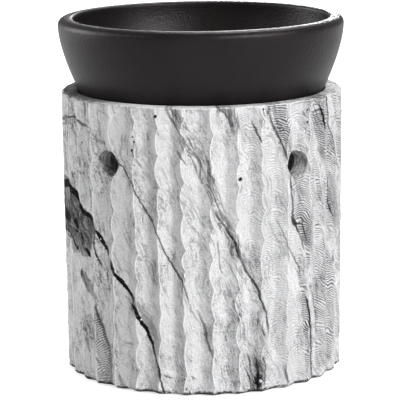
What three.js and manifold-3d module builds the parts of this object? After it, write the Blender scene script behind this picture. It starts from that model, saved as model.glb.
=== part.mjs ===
import * as THREE from 'three';
import { mergeVertices } from 'three/addons/utils/BufferGeometryUtils.js';
import Module from 'manifold-3d';

// Aroma lamp in millimetres, +Z up, front towards -Y.
// A fluted ceramic body holds a tealight, and a glazed bowl seats in its open top.

// Bowl, measured from the crest of its rim downwards
const bowlRadius = 50.5;
const bowlHeight = 48;
const bowlFootRadius = 22;
const bowlWallFullness = 12;
const bowlFootFullness = 13.5;
const bowlRimWidth = 5.3;
const bowlRimOuterRound = 2.5;
const bowlRimInnerRound = 1;
const bowlFloor = 5.5;
const bowlInnerFloorRadius = 16;
const bowlInnerFullness = 16;
const bowlFootRecessDepth = 0.8;
const bowlFootRingWidth = 4.5;

// How the bowl sits in the body
const rimAboveBody = 25.5;
const seatRound = 1.2;
const seatGap = 0.3;

// Body
const bodyTopRadius = 50;
const bodyBaseRadius = 49.3;
const bodyHeight = 99.8;
const bodyTopRound = 2;
const bodyFootChamfer = 0.8;
const chamberBaseRadius = 42.6;
const chamberFloorRound = 3;
const bodyFloor = 5.5;
const footRecessRadius = 41;
const footRecessDepth = 1.5;

// Gouged flutes: each runs between two ridges and is cut in short strokes, one above another
const fluteCount = 34;
const frontRidgeAngles = [-70, -60, -50.3, -39, -28, -18, -8, 3.4, 13.7, 24, 36, 48.2, 59, 70];
const valleyShare = 0.54;
const valleyRoundness = 0.3;
const fluteDepth = 1.15;
const fluteDepthSpread = 0.3;
const fluteFade = 3;
const strokePitch = 10.9;
const strokePitchSpread = 4;
const strokeArch = 3;
const strokeBulge = 1.3;
const strokeBulgeSpread = 1;
const strokeEndRise = 0.3;

// Openings in the body wall
const ventDiameter = 9.8;
const ventAngle = 42;
const ventBelowTop = 20.8;
const doorWidth = 48;
const doorHeight = 58;
const doorCornerRadius = 3;

// Felt pads under the base
const padRadius = 6;
const padThickness = 2;
const padRingRadius = 32;
const padCount = 4;

// Tealight
const cupRadius = 19;
const cupHeight = 16;
const cupWall = 0.4;
const cupRimRoll = 0.45;
const cupFootRound = 1.2;
const waxGap = 0.3;
const waxHeight = 12.6;
const wickRadius = 0.6;
const wickAboveWax = 6;
const wickGap = 0.3;
const clipRadius = 6.5;
const clipSheet = 0.3;
const clipNeckHeight = 3;
const clipGap = 0.3;
const dripRingWidth = 1.5;

// Smoothness of the round forms
const roundSegments = 64;
const smallSegments = 36;
const wickSegments = 10;
const ventSegments = 24;
const arcSteps = 3;
const wallSteps = 9;
const samplesPerFlute = 4;
const bodyRows = 27;
const seatSearchSteps = 400;
const cutMargin = 5;

// Heights of the body that follow from the sizes above
const bodyFoot = padThickness - footRecessDepth;
const bodyTop = bodyFoot + bodyHeight;
const chamberFloor = bodyFoot + footRecessDepth + bodyFloor;
const rimTop = bodyTop + rimAboveBody;

const wasm = await Module();
wasm.setup();

function toSolid(geometry) {
  const bare = geometry.clone();
  bare.deleteAttribute('normal');
  bare.deleteAttribute('uv');
  const merged = mergeVertices(bare, 1e-4);
  const corners = merged.index.array;
  const triangles = [];
  for (let i = 0; i < corners.length; i += 3) {
    const [a, b, c] = [corners[i], corners[i + 1], corners[i + 2]];
    if (a !== b && b !== c && c !== a) triangles.push(a, b, c);
  }
  return new wasm.Manifold(new wasm.Mesh({
    numProp: 3,
    vertProperties: new Float32Array(merged.attributes.position.array),
    triVerts: new Uint32Array(triangles),
  }));
}

function toGeometry(solid) {
  const mesh = solid.getMesh();
  const geometry = new THREE.BufferGeometry();
  geometry.setAttribute('position', new THREE.BufferAttribute(mesh.vertProperties, 3));
  geometry.setIndex(new THREE.BufferAttribute(mesh.triVerts, 1));
  geometry.computeVertexNormals();
  return geometry;
}

// A turned form from [radius, height] points that run round the section counter-clockwise
function turned(profile, segments) {
  const points = profile.map(([radius, height]) => new THREE.Vector2(radius, height));
  return new THREE.LatheGeometry(points, segments).rotateX(Math.PI / 2);
}

function arc(centreRadius, centreHeight, radius, startDegrees, endDegrees) {
  const points = [];
  for (let step = 0; step <= arcSteps; step += 1) {
    const angle = THREE.MathUtils.degToRad(startDegrees + (endDegrees - startDegrees) * step / arcSteps);
    points.push([centreRadius + radius * Math.cos(angle), centreHeight + radius * Math.sin(angle)]);
  }
  return points;
}

function named(name, geometry, material) {
  const mesh = new THREE.Mesh(geometry, material);
  mesh.name = name;
  return mesh;
}

function curveThrough(...controls) {
  return new THREE.CubicBezierCurve(...controls.map(([radius, height]) => new THREE.Vector2(radius, height)));
}

function wallPoints(curve, steps) {
  return curve.getPoints(steps).map((point) => [point.x, point.y]);
}

// The bowl's outside runs from its foot up to its widest ring, its inside from the rim down
const bowlFoot = rimTop - bowlHeight;
const bowlInnerFloor = bowlFoot + bowlFloor;
const bowlWidest = rimTop - bowlRimOuterRound;
const bowlInnerRadius = bowlRadius - bowlRimWidth;
const bowlOutside = curveThrough(
  [bowlFootRadius, bowlFoot],
  [bowlFootRadius + bowlFootFullness, bowlFoot],
  [bowlRadius, bowlWidest - bowlWallFullness],
  [bowlRadius, bowlWidest],
);
const bowlInside = curveThrough(
  [bowlInnerRadius, rimTop - bowlRimInnerRound],
  [bowlInnerRadius, bowlWidest - bowlWallFullness],
  [bowlInnerFloorRadius + bowlInnerFullness, bowlInnerFloor],
  [bowlInnerFloorRadius, bowlInnerFloor],
);

function makeBowl() {
  const recessRadius = bowlFootRadius - bowlFootRingWidth;
  const outerRound = arc(bowlRadius - bowlRimOuterRound, bowlWidest, bowlRimOuterRound, 0, 90);
  const innerRound = arc(bowlInnerRadius + bowlRimInnerRound, rimTop - bowlRimInnerRound, bowlRimInnerRound, 90, 180);
  return turned([
    [0, bowlFoot + bowlFootRecessDepth],
    [recessRadius - bowlFootRecessDepth, bowlFoot + bowlFootRecessDepth],
    [recessRadius, bowlFoot],
    ...wallPoints(bowlOutside, wallSteps),
    ...outerRound.slice(1),
    ...innerRound,
    ...wallPoints(bowlInside, wallSteps).slice(1),
    [0, bowlInnerFloor],
  ], roundSegments);
}

// Radius of the body's opening whose rounded edge lies one seat gap from the bowl's outside
function openingRadius() {
  const reach = seatRound + seatGap;
  const roundHeight = bodyTop - seatRound;
  let centreRadius = 0;
  for (const [radius, height] of wallPoints(bowlOutside, seatSearchSteps)) {
    const rise = Math.abs(height - roundHeight);
    if (rise < reach) centreRadius = Math.max(centreRadius, radius + Math.sqrt(reach ** 2 - rise ** 2));
  }
  return centreRadius - seatRound;
}

// A repeatable number from -0.5 to 0.5 for one property of the stroke at a flute and row
const property = { lift: 0, length: 100, depth: 200, bulge: 300 };
function scatter(flute, row, kind) {
  const value = Math.sin(flute * 12.9898 + (row + kind) * 78.233) * 43758.5453;
  return value - Math.floor(value) - 0.5;
}

function outerRadius(height) {
  const share = (height - bodyFoot) / bodyHeight;
  return THREE.MathUtils.lerp(bodyBaseRadius, bodyTopRadius, share);
}

// Ridges are as seen across the front and evenly spaced over the rest of the way round
function ridgeAngle(index) {
  const lap = Math.floor(index / fluteCount);
  const place = index - lap * fluteCount;
  const known = frontRidgeAngles.length;
  const [first, last] = [frontRidgeAngles[0], frontRidgeAngles[known - 1]];
  const step = (360 - (last - first)) / (fluteCount - known + 1);
  return 360 * lap + (place < known ? frontRidgeAngles[place] : last + (place - known + 1) * step);
}

// The stroke that cuts a flute at a height, and how far up the stroke that height is, from 0 to 1
function strokeAt(flute, height) {
  const lift = scatter(flute, 0, property.lift) * strokePitch;
  const foot = (row) => lift + row * strokePitch + scatter(flute, row, property.length) * strokePitchSpread;
  let row = Math.floor((height - lift) / strokePitch);
  if (height < foot(row)) row -= 1;
  if (height >= foot(row + 1)) row += 1;
  return { row, share: (height - foot(row)) / (foot(row + 1) - foot(row)) };
}

// A ridge's angle in degrees at a height: each stroke bulges towards the flute on its left
function ridgeAngleAt(index, height) {
  const flute = index % fluteCount;
  const { row, share } = strokeAt(flute, height + strokeArch);
  const bulge = strokeBulge + scatter(flute, row, property.bulge) * strokeBulgeSpread;
  const shift = bulge * (2 / 3 - 4 * share * (1 - share));
  return ridgeAngle(index) + THREE.MathUtils.radToDeg(shift / outerRadius(height));
}

// Depth below the ridges at a share of the way across a flute, from 0 at its left ridge to 1
function depthAt(flute, across, height) {
  const side = across < valleyShare ? valleyShare : 1 - valleyShare;
  const fromValley = Math.abs(across - valleyShare) / side;
  const round = (x) => Math.sqrt(x ** 2 + valleyRoundness ** 2) - valleyRoundness;
  const section = 1 - round(fromValley) / round(1);
  const { row, share } = strokeAt(flute, height + strokeArch * (2 * across - 1) ** 2);
  const deepest = fluteDepth + scatter(flute, row, property.depth) * fluteDepthSpread;
  const rise = strokeEndRise * (2 * share - 1) ** 2;
  const fade = THREE.MathUtils.smoothstep(bodyTop - bodyTopRound - height, -bodyTopRound / 2, fluteFade);
  return (deepest - rise) * section * fade;
}

// The body's outside as a closed grid of rings, with a cap at each end
function flutedBlank() {
  const columns = fluteCount * samplesPerFlute;
  const rings = [{ height: bodyFoot, inset: bodyFootChamfer }];
  const wallBottom = bodyFoot + bodyFootChamfer;
  const wallTop = bodyTop - bodyTopRound;
  for (let row = 0; row <= bodyRows; row += 1) {
    rings.push({ height: wallBottom + (wallTop - wallBottom) * row / bodyRows, inset: 0 });
  }
  for (const [radius, height] of arc(0, wallTop, bodyTopRound, 0, 90).slice(1)) {
    rings.push({ height, inset: bodyTopRound - radius });
  }
  const positions = [0, 0, bodyFoot];
  for (const { height, inset } of rings) {
    for (let column = 0; column < columns; column += 1) {
      const flute = Math.floor(column / samplesPerFlute);
      const across = column / samplesPerFlute - flute;
      const [left, right] = [ridgeAngleAt(flute, height), ridgeAngleAt(flute + 1, height)];
      const angle = THREE.MathUtils.degToRad(THREE.MathUtils.lerp(left, right, across));
      const radius = outerRadius(height) - inset - depthAt(flute, across, height);
      positions.push(radius * Math.sin(angle), -radius * Math.cos(angle), height);
    }
  }
  positions.push(0, 0, bodyTop);
  const topCentre = positions.length / 3 - 1;
  const triangles = [];
  const vertex = (ring, column) => 1 + ring * columns + (column % columns);
  for (let column = 0; column < columns; column += 1) {
    triangles.push(0, vertex(0, column + 1), vertex(0, column));
    for (let ring = 0; ring < rings.length - 1; ring += 1) {
      const low = [vertex(ring, column), vertex(ring, column + 1)];
      const high = [vertex(ring + 1, column), vertex(ring + 1, column + 1)];
      triangles.push(low[0], low[1], high[1], low[0], high[1], high[0]);
    }
    const last = rings.length - 1;
    triangles.push(topCentre, vertex(last, column), vertex(last, column + 1));
  }
  const geometry = new THREE.BufferGeometry();
  geometry.setAttribute('position', new THREE.Float32BufferAttribute(positions, 3));
  geometry.setIndex(triangles);
  return geometry;
}

function chamberCut() {
  const opening = openingRadius();
  const bend = arc(chamberBaseRadius - chamberFloorRound, chamberFloor + chamberFloorRound, chamberFloorRound, -90, 0);
  const edge = arc(opening + seatRound, bodyTop - seatRound, seatRound, 180, 90);
  return turned([
    [0, chamberFloor],
    ...bend,
    ...edge,
    [opening + seatRound, bodyTop + cutMargin],
    [0, bodyTop + cutMargin],
  ], roundSegments);
}

function doorCut() {
  const half = doorWidth / 2;
  const springing = doorHeight - half;
  const outline = new THREE.Shape();
  outline.moveTo(-half + doorCornerRadius, 0);
  outline.lineTo(half - doorCornerRadius, 0);
  outline.quadraticCurveTo(half, 0, half, doorCornerRadius);
  outline.lineTo(half, springing);
  outline.absarc(0, springing, half, 0, Math.PI, false);
  outline.lineTo(-half, doorCornerRadius);
  outline.quadraticCurveTo(-half, 0, -half + doorCornerRadius, 0);
  const options = { depth: bodyTopRadius + cutMargin, bevelEnabled: false, curveSegments: 20 };
  const geometry = new THREE.ExtrudeGeometry(outline, options);
  return geometry.rotateX(Math.PI / 2).rotateZ(Math.PI).translate(0, 0, chamberFloor);
}

function ventCut(side) {
  const length = bodyTopRadius + cutMargin;
  const angle = THREE.MathUtils.degToRad(ventAngle) * side;
  const geometry = new THREE.CylinderGeometry(ventDiameter / 2, ventDiameter / 2, length, ventSegments);
  return geometry.translate(0, -length / 2, 0).rotateZ(angle).translate(0, 0, bodyTop - ventBelowTop);
}

function footRecessCut() {
  return turned([
    [0, bodyFoot - cutMargin],
    [footRecessRadius, bodyFoot - cutMargin],
    [footRecessRadius, bodyFoot + footRecessDepth],
    [0, bodyFoot + footRecessDepth],
  ], roundSegments);
}

function makeBody() {
  const cuts = [chamberCut(), doorCut(), ventCut(-1), ventCut(1), footRecessCut()];
  return toGeometry(cuts.reduce((solid, cut) => solid.subtract(toSolid(cut)), toSolid(flutedBlank())));
}

function makePad() {
  const geometry = new THREE.CylinderGeometry(padRadius, padRadius, padThickness, smallSegments);
  return geometry.rotateX(Math.PI / 2).translate(0, 0, padThickness / 2);
}

// The tealight's pieces stand on the chamber floor at height 0 of their own group
function makeCup() {
  const inner = cupRadius - cupWall;
  const outerBend = arc(cupRadius - cupFootRound, cupFootRound, cupFootRound, -90, 0);
  const innerBend = arc(inner - cupFootRound, cupWall + cupFootRound, cupFootRound, 0, -90);
  const roll = arc(cupRadius, cupHeight - cupRimRoll, cupRimRoll, -70, 170);
  return turned([
    [0, 0],
    ...outerBend,
    ...roll,
    [inner, cupHeight - 2 * cupRimRoll],
    ...innerBend,
    [0, cupWall],
  ], smallSegments);
}

function makeClip() {
  const bore = wickRadius + wickGap;
  const neck = bore + clipSheet;
  const bottom = cupWall + clipGap;
  return turned([
    [bore, bottom],
    [clipRadius, bottom],
    [clipRadius, bottom + clipSheet],
    [neck, bottom + clipSheet],
    [neck, bottom + clipNeckHeight],
    [bore, bottom + clipNeckHeight],
    [bore, bottom],
  ], smallSegments);
}

function makeWick() {
  const bottom = cupWall + clipGap;
  const length = waxHeight + wickAboveWax - clipGap;
  const geometry = new THREE.CylinderGeometry(wickRadius, wickRadius, length, wickSegments);
  return geometry.rotateX(Math.PI / 2).translate(0, 0, bottom + length / 2);
}

function makeWax() {
  const bore = wickRadius + wickGap;
  const neck = bore + clipSheet + clipGap;
  const bottom = cupWall + waxGap;
  const top = cupWall + waxHeight;
  const radius = cupRadius - cupWall - waxGap;
  const clipTop = cupWall + clipGap + clipSheet + clipGap;
  const neckTop = cupWall + clipGap + clipNeckHeight + clipGap;
  const bend = arc(radius - cupFootRound, bottom + cupFootRound, cupFootRound, -90, 0);
  return turned([
    [clipRadius + clipGap, bottom],
    ...bend,
    [radius, top],
    [wickRadius + wickGap + dripRingWidth, top],
    [bore, top],
    [bore, neckTop],
    [neck, neckTop],
    [neck, clipTop],
    [clipRadius + clipGap, clipTop],
    [clipRadius + clipGap, bottom],
  ], smallSegments);
}

const stoneware = new THREE.MeshStandardMaterial({ color: 0xd2d0d1, roughness: 0.7, metalness: 0 });
const blackGlaze = new THREE.MeshStandardMaterial({ color: 0x2b292b, roughness: 0.38, metalness: 0 });
const felt = new THREE.MeshStandardMaterial({ color: 0x3b3a39, roughness: 0.95, metalness: 0 });
const aluminium = new THREE.MeshStandardMaterial({ color: 0xc9cbce, roughness: 0.35, metalness: 1 });
const waxWhite = new THREE.MeshStandardMaterial({ color: 0xf1ede2, roughness: 0.5, metalness: 0 });
const cotton = new THREE.MeshStandardMaterial({ color: 0xe6dfcc, roughness: 0.9, metalness: 0 });
const tinPlate = new THREE.MeshStandardMaterial({ color: 0xb9bbbd, roughness: 0.4, metalness: 1 });

const lamp = new THREE.Group();
lamp.add(named('body', makeBody(), stoneware));
lamp.add(named('bowl', makeBowl(), blackGlaze));

for (let index = 0; index < padCount; index += 1) {
  const angle = 2 * Math.PI * (index + 0.5) / padCount;
  const pad = named(`base_pad_${index + 1}`, makePad(), felt);
  pad.position.set(padRingRadius * Math.cos(angle), padRingRadius * Math.sin(angle), 0);
  lamp.add(pad);
}

const tealight = new THREE.Group();
tealight.position.set(0, 0, chamberFloor);
tealight.add(named('tealight_cup', makeCup(), aluminium));
tealight.add(named('tealight_wax', makeWax(), waxWhite));
tealight.add(named('tealight_wick', makeWick(), cotton));
tealight.add(named('wick_clip', makeClip(), tinPlate));
lamp.add(tealight);

export default lamp;
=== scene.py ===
import math
from collections import namedtuple

import bpy
import numpy as np
from bpy.props import (
    FloatProperty,
    FloatVectorProperty,
    IntProperty,
    PointerProperty,
)
from mathutils import Matrix, Vector, noise


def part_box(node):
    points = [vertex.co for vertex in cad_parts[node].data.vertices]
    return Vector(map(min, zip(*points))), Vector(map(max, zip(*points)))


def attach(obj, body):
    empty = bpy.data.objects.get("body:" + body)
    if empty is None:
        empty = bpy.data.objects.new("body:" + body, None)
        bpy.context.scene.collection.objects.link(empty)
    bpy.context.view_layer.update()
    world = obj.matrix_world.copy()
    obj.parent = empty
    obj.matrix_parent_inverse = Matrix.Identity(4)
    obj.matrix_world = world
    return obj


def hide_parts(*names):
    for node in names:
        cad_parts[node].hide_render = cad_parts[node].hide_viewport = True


bl_info = {
    "name": "Aroma Lamp",
    "version": (1, 0, 0),
    "blender": (4, 5, 0),
    "location": "3D View > Sidebar > Aroma Lamp",
    "description": "Marbled, gouged ceramic aroma lamp with a glazed bowl and a tealight",
    "category": "Object",
}

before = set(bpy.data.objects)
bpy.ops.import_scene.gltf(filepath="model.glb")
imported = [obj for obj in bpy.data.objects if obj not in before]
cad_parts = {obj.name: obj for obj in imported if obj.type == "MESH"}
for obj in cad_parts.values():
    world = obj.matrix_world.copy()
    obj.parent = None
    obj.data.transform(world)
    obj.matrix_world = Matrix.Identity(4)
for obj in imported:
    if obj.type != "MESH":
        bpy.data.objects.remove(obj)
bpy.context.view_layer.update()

MM = 0.001


def node_size(node):
    """Lowest and highest corner of a node of the frame, in millimetres."""
    low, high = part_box(node)
    return low / MM, high / MM


BODY_LOW, BODY_HIGH = node_size("body")
BOWL_LOW, BOWL_HIGH = node_size("bowl")
CUP_LOW, CUP_HIGH = node_size("tealight_cup")
WAX_LOW, WAX_HIGH = node_size("tealight_wax")
WICK_LOW, WICK_HIGH = node_size("tealight_wick")
CLIP_LOW, CLIP_HIGH = node_size("wick_clip")
PAD_COUNT = 4


def opening_radius():
    """Radius in millimetres of the body's top opening, where its rounded edge begins."""
    edge_depth = 1.3
    points = np.array([v.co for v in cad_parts["body"].data.vertices]) / MM
    near_top = points[points[:, 2] > BODY_HIGH.z - edge_depth]
    return float(np.hypot(near_top[:, 0], near_top[:, 1]).min())


def length(name, description, millimetres):
    """A length that the user can change, with its default in millimetres."""
    return FloatProperty(
        name=name, description=description, default=millimetres * MM, unit="LENGTH", precision=4
    )


def rotation(name, description, degrees):
    """An angle that the user can change, with its default in degrees."""
    return FloatProperty(name=name, description=description, default=math.radians(degrees), subtype="ANGLE")


def whole_number(name, description, default, lowest):
    """A whole number that the user can change."""
    return IntProperty(name=name, description=description, default=default, min=lowest)


def colour(name, description, default):
    """A colour that the user can change."""
    return FloatVectorProperty(
        name=name, description=description, default=default, min=0, max=1, size=3, subtype="COLOR"
    )


class BodySizes(bpy.types.PropertyGroup):
    base_radius: length("Base radius", "Radius over the ridges at the foot", 49.3)
    top_radius: length("Top radius", "Radius over the ridges at the top", 50)
    top_round: length("Top round", "Rounding of the top edge", 1.4)
    foot_chamfer: length("Foot chamfer", "Chamfer of the bottom edge", 0.8)
    chamber_radius: length("Chamber radius", "Radius of the chamber above its floor", 42.6)
    floor_round: length("Floor round", "Rounding between the chamber's floor and wall", 3)
    seat_round: length("Seat round", "Rounding of the edge that carries the bowl", 1.2)
    recess_radius: length("Recess radius", "Radius of the recess under the foot", 41)
    recess_depth: length("Recess depth", "Depth of the recess under the foot", 1.5)
    flute_depth: length("Flute depth", "Depth of the gouged flutes below their ridges", 1.8)
    stroke_pitch: length("Stroke pitch", "Height of one gouge stroke", 10.9)
    vent_diameter: length("Vent diameter", "Bore of the two vents", 9.8)
    vent_drop: length("Vent drop", "Height from the top edge down to the vents' middle", 20.8)
    vent_angle: rotation("Vent angle", "Angle of each vent from the front", 42)
    door_width: length("Doorway width", "Width of the arched doorway at the back", 48)
    door_height: length("Doorway height", "Height of the doorway above the chamber's floor", 58)
    samples_per_flute: whole_number("Samples per flute", "Columns of faces across each flute", 16, 4)
    rows: whole_number("Rows", "Rows of faces up the body's wall", 150, 20)
    ground: colour("Ground", "Pale ground of the marbled ceramic", (0.70, 0.70, 0.71))
    smoke: colour("Smoke", "Grey of the marble's smoky patches", (0.024, 0.023, 0.026))
    vein: colour("Vein", "Near-black of the marble's veins", (0.006, 0.0055, 0.0065))


class BowlSizes(bpy.types.PropertyGroup):
    foot_radius: length("Foot radius", "Radius of the foot", 22)
    wall_fullness: length("Wall fullness", "Length of the outside curve's upper pull", 12)
    foot_fullness: length("Foot fullness", "Length of the outside curve's lower pull", 13.5)
    rim_width: length("Rim width", "Thickness of the rim", 5.3)
    rim_outer_round: length("Outer rim round", "Rounding of the rim's outer side", 2.5)
    rim_inner_round: length("Inner rim round", "Rounding of the rim's inner side", 1)
    floor_thickness: length("Floor thickness", "Thickness of the bowl's floor", 5.5)
    inner_floor_radius: length("Inner floor radius", "Radius of the flat floor inside", 16)
    inner_fullness: length("Inner fullness", "Length of the inside curve's lower pull", 16)
    recess_depth: length("Recess depth", "Depth of the recess under the foot", 0.8)
    ring_width: length("Foot ring width", "Width of the ring round the foot's recess", 4.5)
    glaze: colour("Glaze", "Black satin glaze", (0.0060, 0.0050, 0.0052))


class TealightSizes(bpy.types.PropertyGroup):
    wall: length("Wall", "Thickness of the cup's sheet", 0.4)
    roll: length("Rim roll", "Radius of the cup's rolled rim", 0.45)
    foot_round: length("Foot round", "Rounding between the cup's base and wall", 1.2)
    crimp_depth: length("Crimp depth", "Depth of the fine vertical crimps of the drawn sheet", 0.08)
    crimps: whole_number("Crimps", "Crimps round the cup", 72, 3)
    wax: colour("Wax", "Colour of the paraffin wax", (0.86, 0.84, 0.78))
    cotton: colour("Cotton", "Colour of the waxed wick", (0.80, 0.76, 0.66))


class PadSizes(bpy.types.PropertyGroup):
    edge_round: length("Edge round", "Softness of the cut edge", 0.5)
    felt: colour("Felt", "Colour of the felt", (0.040, 0.038, 0.036))


class StudioSizes(bpy.types.PropertyGroup):
    camera_distance: length("Camera distance", "Distance from the lamp's axis to the camera", 830)
    camera_height: length("Camera height", "Height of the camera above the floor", 220.5)
    camera_pitch: rotation("Camera pitch", "Angle that the camera looks down", 10.98)
    camera_roll: rotation("Camera roll", "Lean of the camera to its side", 0.64)
    lens: FloatProperty(name="Lens", description="Focal length in millimetres", default=212.4, min=1)
    paper: colour("Paper", "Pale studio floor", (0.93, 0.93, 0.93))


# Meshes

def bezier(start, pull_start, pull_end, end, steps):
    """Points of a cubic curve as [radius, height] rows."""
    t = np.linspace(0, 1, steps + 1)[:, None]
    start, pull_start, pull_end, end = (np.array(p, float) for p in (start, pull_start, pull_end, end))
    return (
        (1 - t) ** 3 * start + 3 * (1 - t) ** 2 * t * pull_start
        + 3 * (1 - t) * t ** 2 * pull_end + t ** 3 * end
    )


def arc(centre_radius, centre_height, radius, start_degrees, end_degrees, steps):
    """Points of an arc as [radius, height] rows."""
    angles = np.radians(np.linspace(start_degrees, end_degrees, steps + 1))
    return np.stack([centre_radius + radius * np.cos(angles), centre_height + radius * np.sin(angles)], 1)


def turned(profile, segments, shape=None):
    """Vertices and faces of [radius, height] rows turned round Z. A row at radius 0 closes an end.
    shape(angle, radius, height) gives each point's radius where the form isn't quite round."""
    angles = np.linspace(0, 2 * math.pi, segments, endpoint=False)
    vertices, faces, rings = [], [], []
    for radius, height in profile:
        if radius <= 0:
            rings.append([len(vertices)] * segments)
            vertices.append((0, 0, height))
            continue
        radii = np.full(segments, radius) if shape is None else shape(angles, radius, height)
        rings.append(list(range(len(vertices), len(vertices) + segments)))
        vertices.extend(zip(radii * np.sin(angles), -radii * np.cos(angles), np.full(segments, height)))
    for lower, upper in zip(rings, rings[1:]):
        for i in range(segments):
            j = (i + 1) % segments
            corners = [lower[i], lower[j], upper[j], upper[i]]
            faces.append([c for k, c in enumerate(corners) if c != corners[k - 1]])
    return vertices, faces


def new_mesh(name, vertices, faces, sharp_degrees=40):
    """A smooth-shaded object from vertices in millimetres."""
    mesh = bpy.data.meshes.new(name)
    mesh.from_pydata((np.array(vertices) * MM).tolist(), [], faces)
    mesh.validate()
    mesh.shade_smooth()
    mesh.set_sharp_from_angle(angle=math.radians(sharp_degrees))
    piece = bpy.data.objects.new(name, mesh)
    bpy.context.scene.collection.objects.link(piece)
    return piece


def dress(piece, material, body, slot, *nodes):
    """Gives a piece its material and the body that it moves with, and hides the nodes that it stands for. The
    slot is not used.
    """
    piece.data.materials.clear()
    piece.data.materials.append(material)
    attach(piece, body)
    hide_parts(*nodes)
    return piece


def apply_modifiers(piece):
    """Turns a piece's modifiers into its mesh."""
    evaluated = piece.evaluated_get(bpy.context.evaluated_depsgraph_get())
    mesh = bpy.data.meshes.new_from_object(evaluated)
    piece.modifiers.clear()
    piece.data = mesh
    return mesh


def cut(piece, cutter):
    """Cuts a closed piece by another and removes the cutter."""
    boolean = piece.modifiers.new("cut", "BOOLEAN")
    boolean.operation = "DIFFERENCE"
    boolean.solver = "MANIFOLD"
    boolean.object = cutter
    bpy.context.view_layer.update()
    apply_modifiers(piece)
    bpy.data.objects.remove(cutter)


# The gouged flutes, in millimetres unless a comment says otherwise

FLUTE_COUNT = 34
# Angles in degrees of the ridges that the photograph shows
FRONT_RIDGES = (-70, -60, -50.3, -39, -28, -18, -8, 3.4, 13.7, 24, 36, 48.2, 59, 70)
# Where a flute is deepest and how blunt it is there, as shares of its width
VALLEY_SHARE = 0.58
VALLEY_ROUNDNESS = 0.25
# How far the columns of faces crowd towards the ridges, as a share of a flute
RIDGE_CROWDING = 0.11
# How much the strokes differ in depth and length, and how far their ends arch across a flute
DEPTH_SPREAD = 0.5
LENGTH_SPREAD = 4
STROKE_ARCH = 3
# How far a ridge bulges sideways in each stroke, how much that varies and how far it wanders
STROKE_BULGE = 1.15
BULGE_SPREAD = 1.9
RIDGE_WANDER = 0.45
# The gouge digs in over the last share of a stroke and runs out over the first, each by a depth
ENTRY_SHARE, ENTRY_DEPTH = 0.1, 0.75
RUNOUT_SHARE, RUNOUT_DEPTH = 0.6, 0.4
# The worn edge of the foot, by its height and depth
FOOT_WEAR_HEIGHT, FOOT_WEAR = 1.5, 0.2
# How far the whole surface stands in, so that its lumps stay inside the radius
SURFACE_INSET = 0.15
# Width and depth of the rounding that fingers press in round an opening, and a distance out of reach
PRESS_WIDTH, PRESS_DEPTH = 1.2, 0.9
FAR_AWAY = 99
# Keys that keep the random draws for a stroke's properties apart
LIFT, LENGTH, DEPTH, BULGE = 0, 100, 200, 300
# Numbers that the body's mesh keeps at each point for its material, among them painted shade and highlights
PAINTED_FLUTE_SHADE, CREST_SHADE_AND_HIGHLIGHT, ARCHED, OUTSIDE = "painted_flute_shade", "crest_shade_and_highlight", "arched", "outside"


def scatter(flute, row, kind):
    """A repeatable number from -0.5 to 0.5 for one property of the stroke at a flute and row."""
    value = np.sin(flute * 12.9898 + (row + kind) * 78.233) * 43758.5453
    return value - np.floor(value) - 0.5


def ridge_angles():
    """The ridges' angles in degrees, as seen across the front and evenly spaced over the rest."""
    first, last = FRONT_RIDGES[0], FRONT_RIDGES[-1]
    rest = FLUTE_COUNT - len(FRONT_RIDGES)
    step = (360 - (last - first)) / (rest + 1)
    return np.array([*FRONT_RIDGES, *(last + step * (i + 1) for i in range(rest)), first + 360])


def stroke_at(flute, height, pitch):
    """The stroke that cuts a flute at a height, and how far up the stroke that is, from 0 to 1."""
    lift = scatter(flute, 0, LIFT) * pitch

    def foot(row):
        return lift + row * pitch + scatter(flute, row, LENGTH) * LENGTH_SPREAD

    row = np.floor((height - lift) / pitch)
    row = np.where(height < foot(row), row - 1, row)
    row = np.where(height >= foot(row + 1), row + 1, row)
    return row, (height - foot(row)) / (foot(row + 1) - foot(row))


def smooth_step(x, low, high):
    """Rises smoothly from 0 to 1 between two limits."""
    t = np.clip((x - low) / (high - low), 0, 1)
    return t * t * (3 - 2 * t)


def lumps(points, size, stretch, seed):
    """Clay-like unevenness from about -1 to 1 at each point, with lumps of a size in millimetres."""
    scaled = points / size * np.array([1, 1, 1 / stretch]) + seed
    values = [noise.fractal(Vector(point), 0.9, 2.1, 3) for point in scaled.reshape(-1, 3)]
    return np.array(values).reshape(points.shape[:2])


def round_points(angle, radius, heights):
    """Points in space of a grid given by angle, radius and height."""
    return np.stack(
        [radius * np.sin(angle), -radius * np.cos(angle), np.broadcast_to(heights, radius.shape)], 2
    )


def wall_rows(sizes):
    """Heights of the outside's rows, from the foot up, and how far the edges draw each one in."""
    foot, top = BODY_LOW.z, BODY_HIGH.z
    chamfer, bend = sizes.foot_chamfer / MM, sizes.top_round / MM
    wall = np.linspace(foot + chamfer, top - bend, sizes.rows + 1)
    edge = arc(0, top - bend, bend, 0, 90, 8)[1:]
    heights = np.concatenate([[foot], wall, edge[:, 1]])[:, None]
    insets = np.concatenate([[chamfer], wall * 0, bend - edge[:, 0]])[:, None]
    return heights, insets


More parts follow.
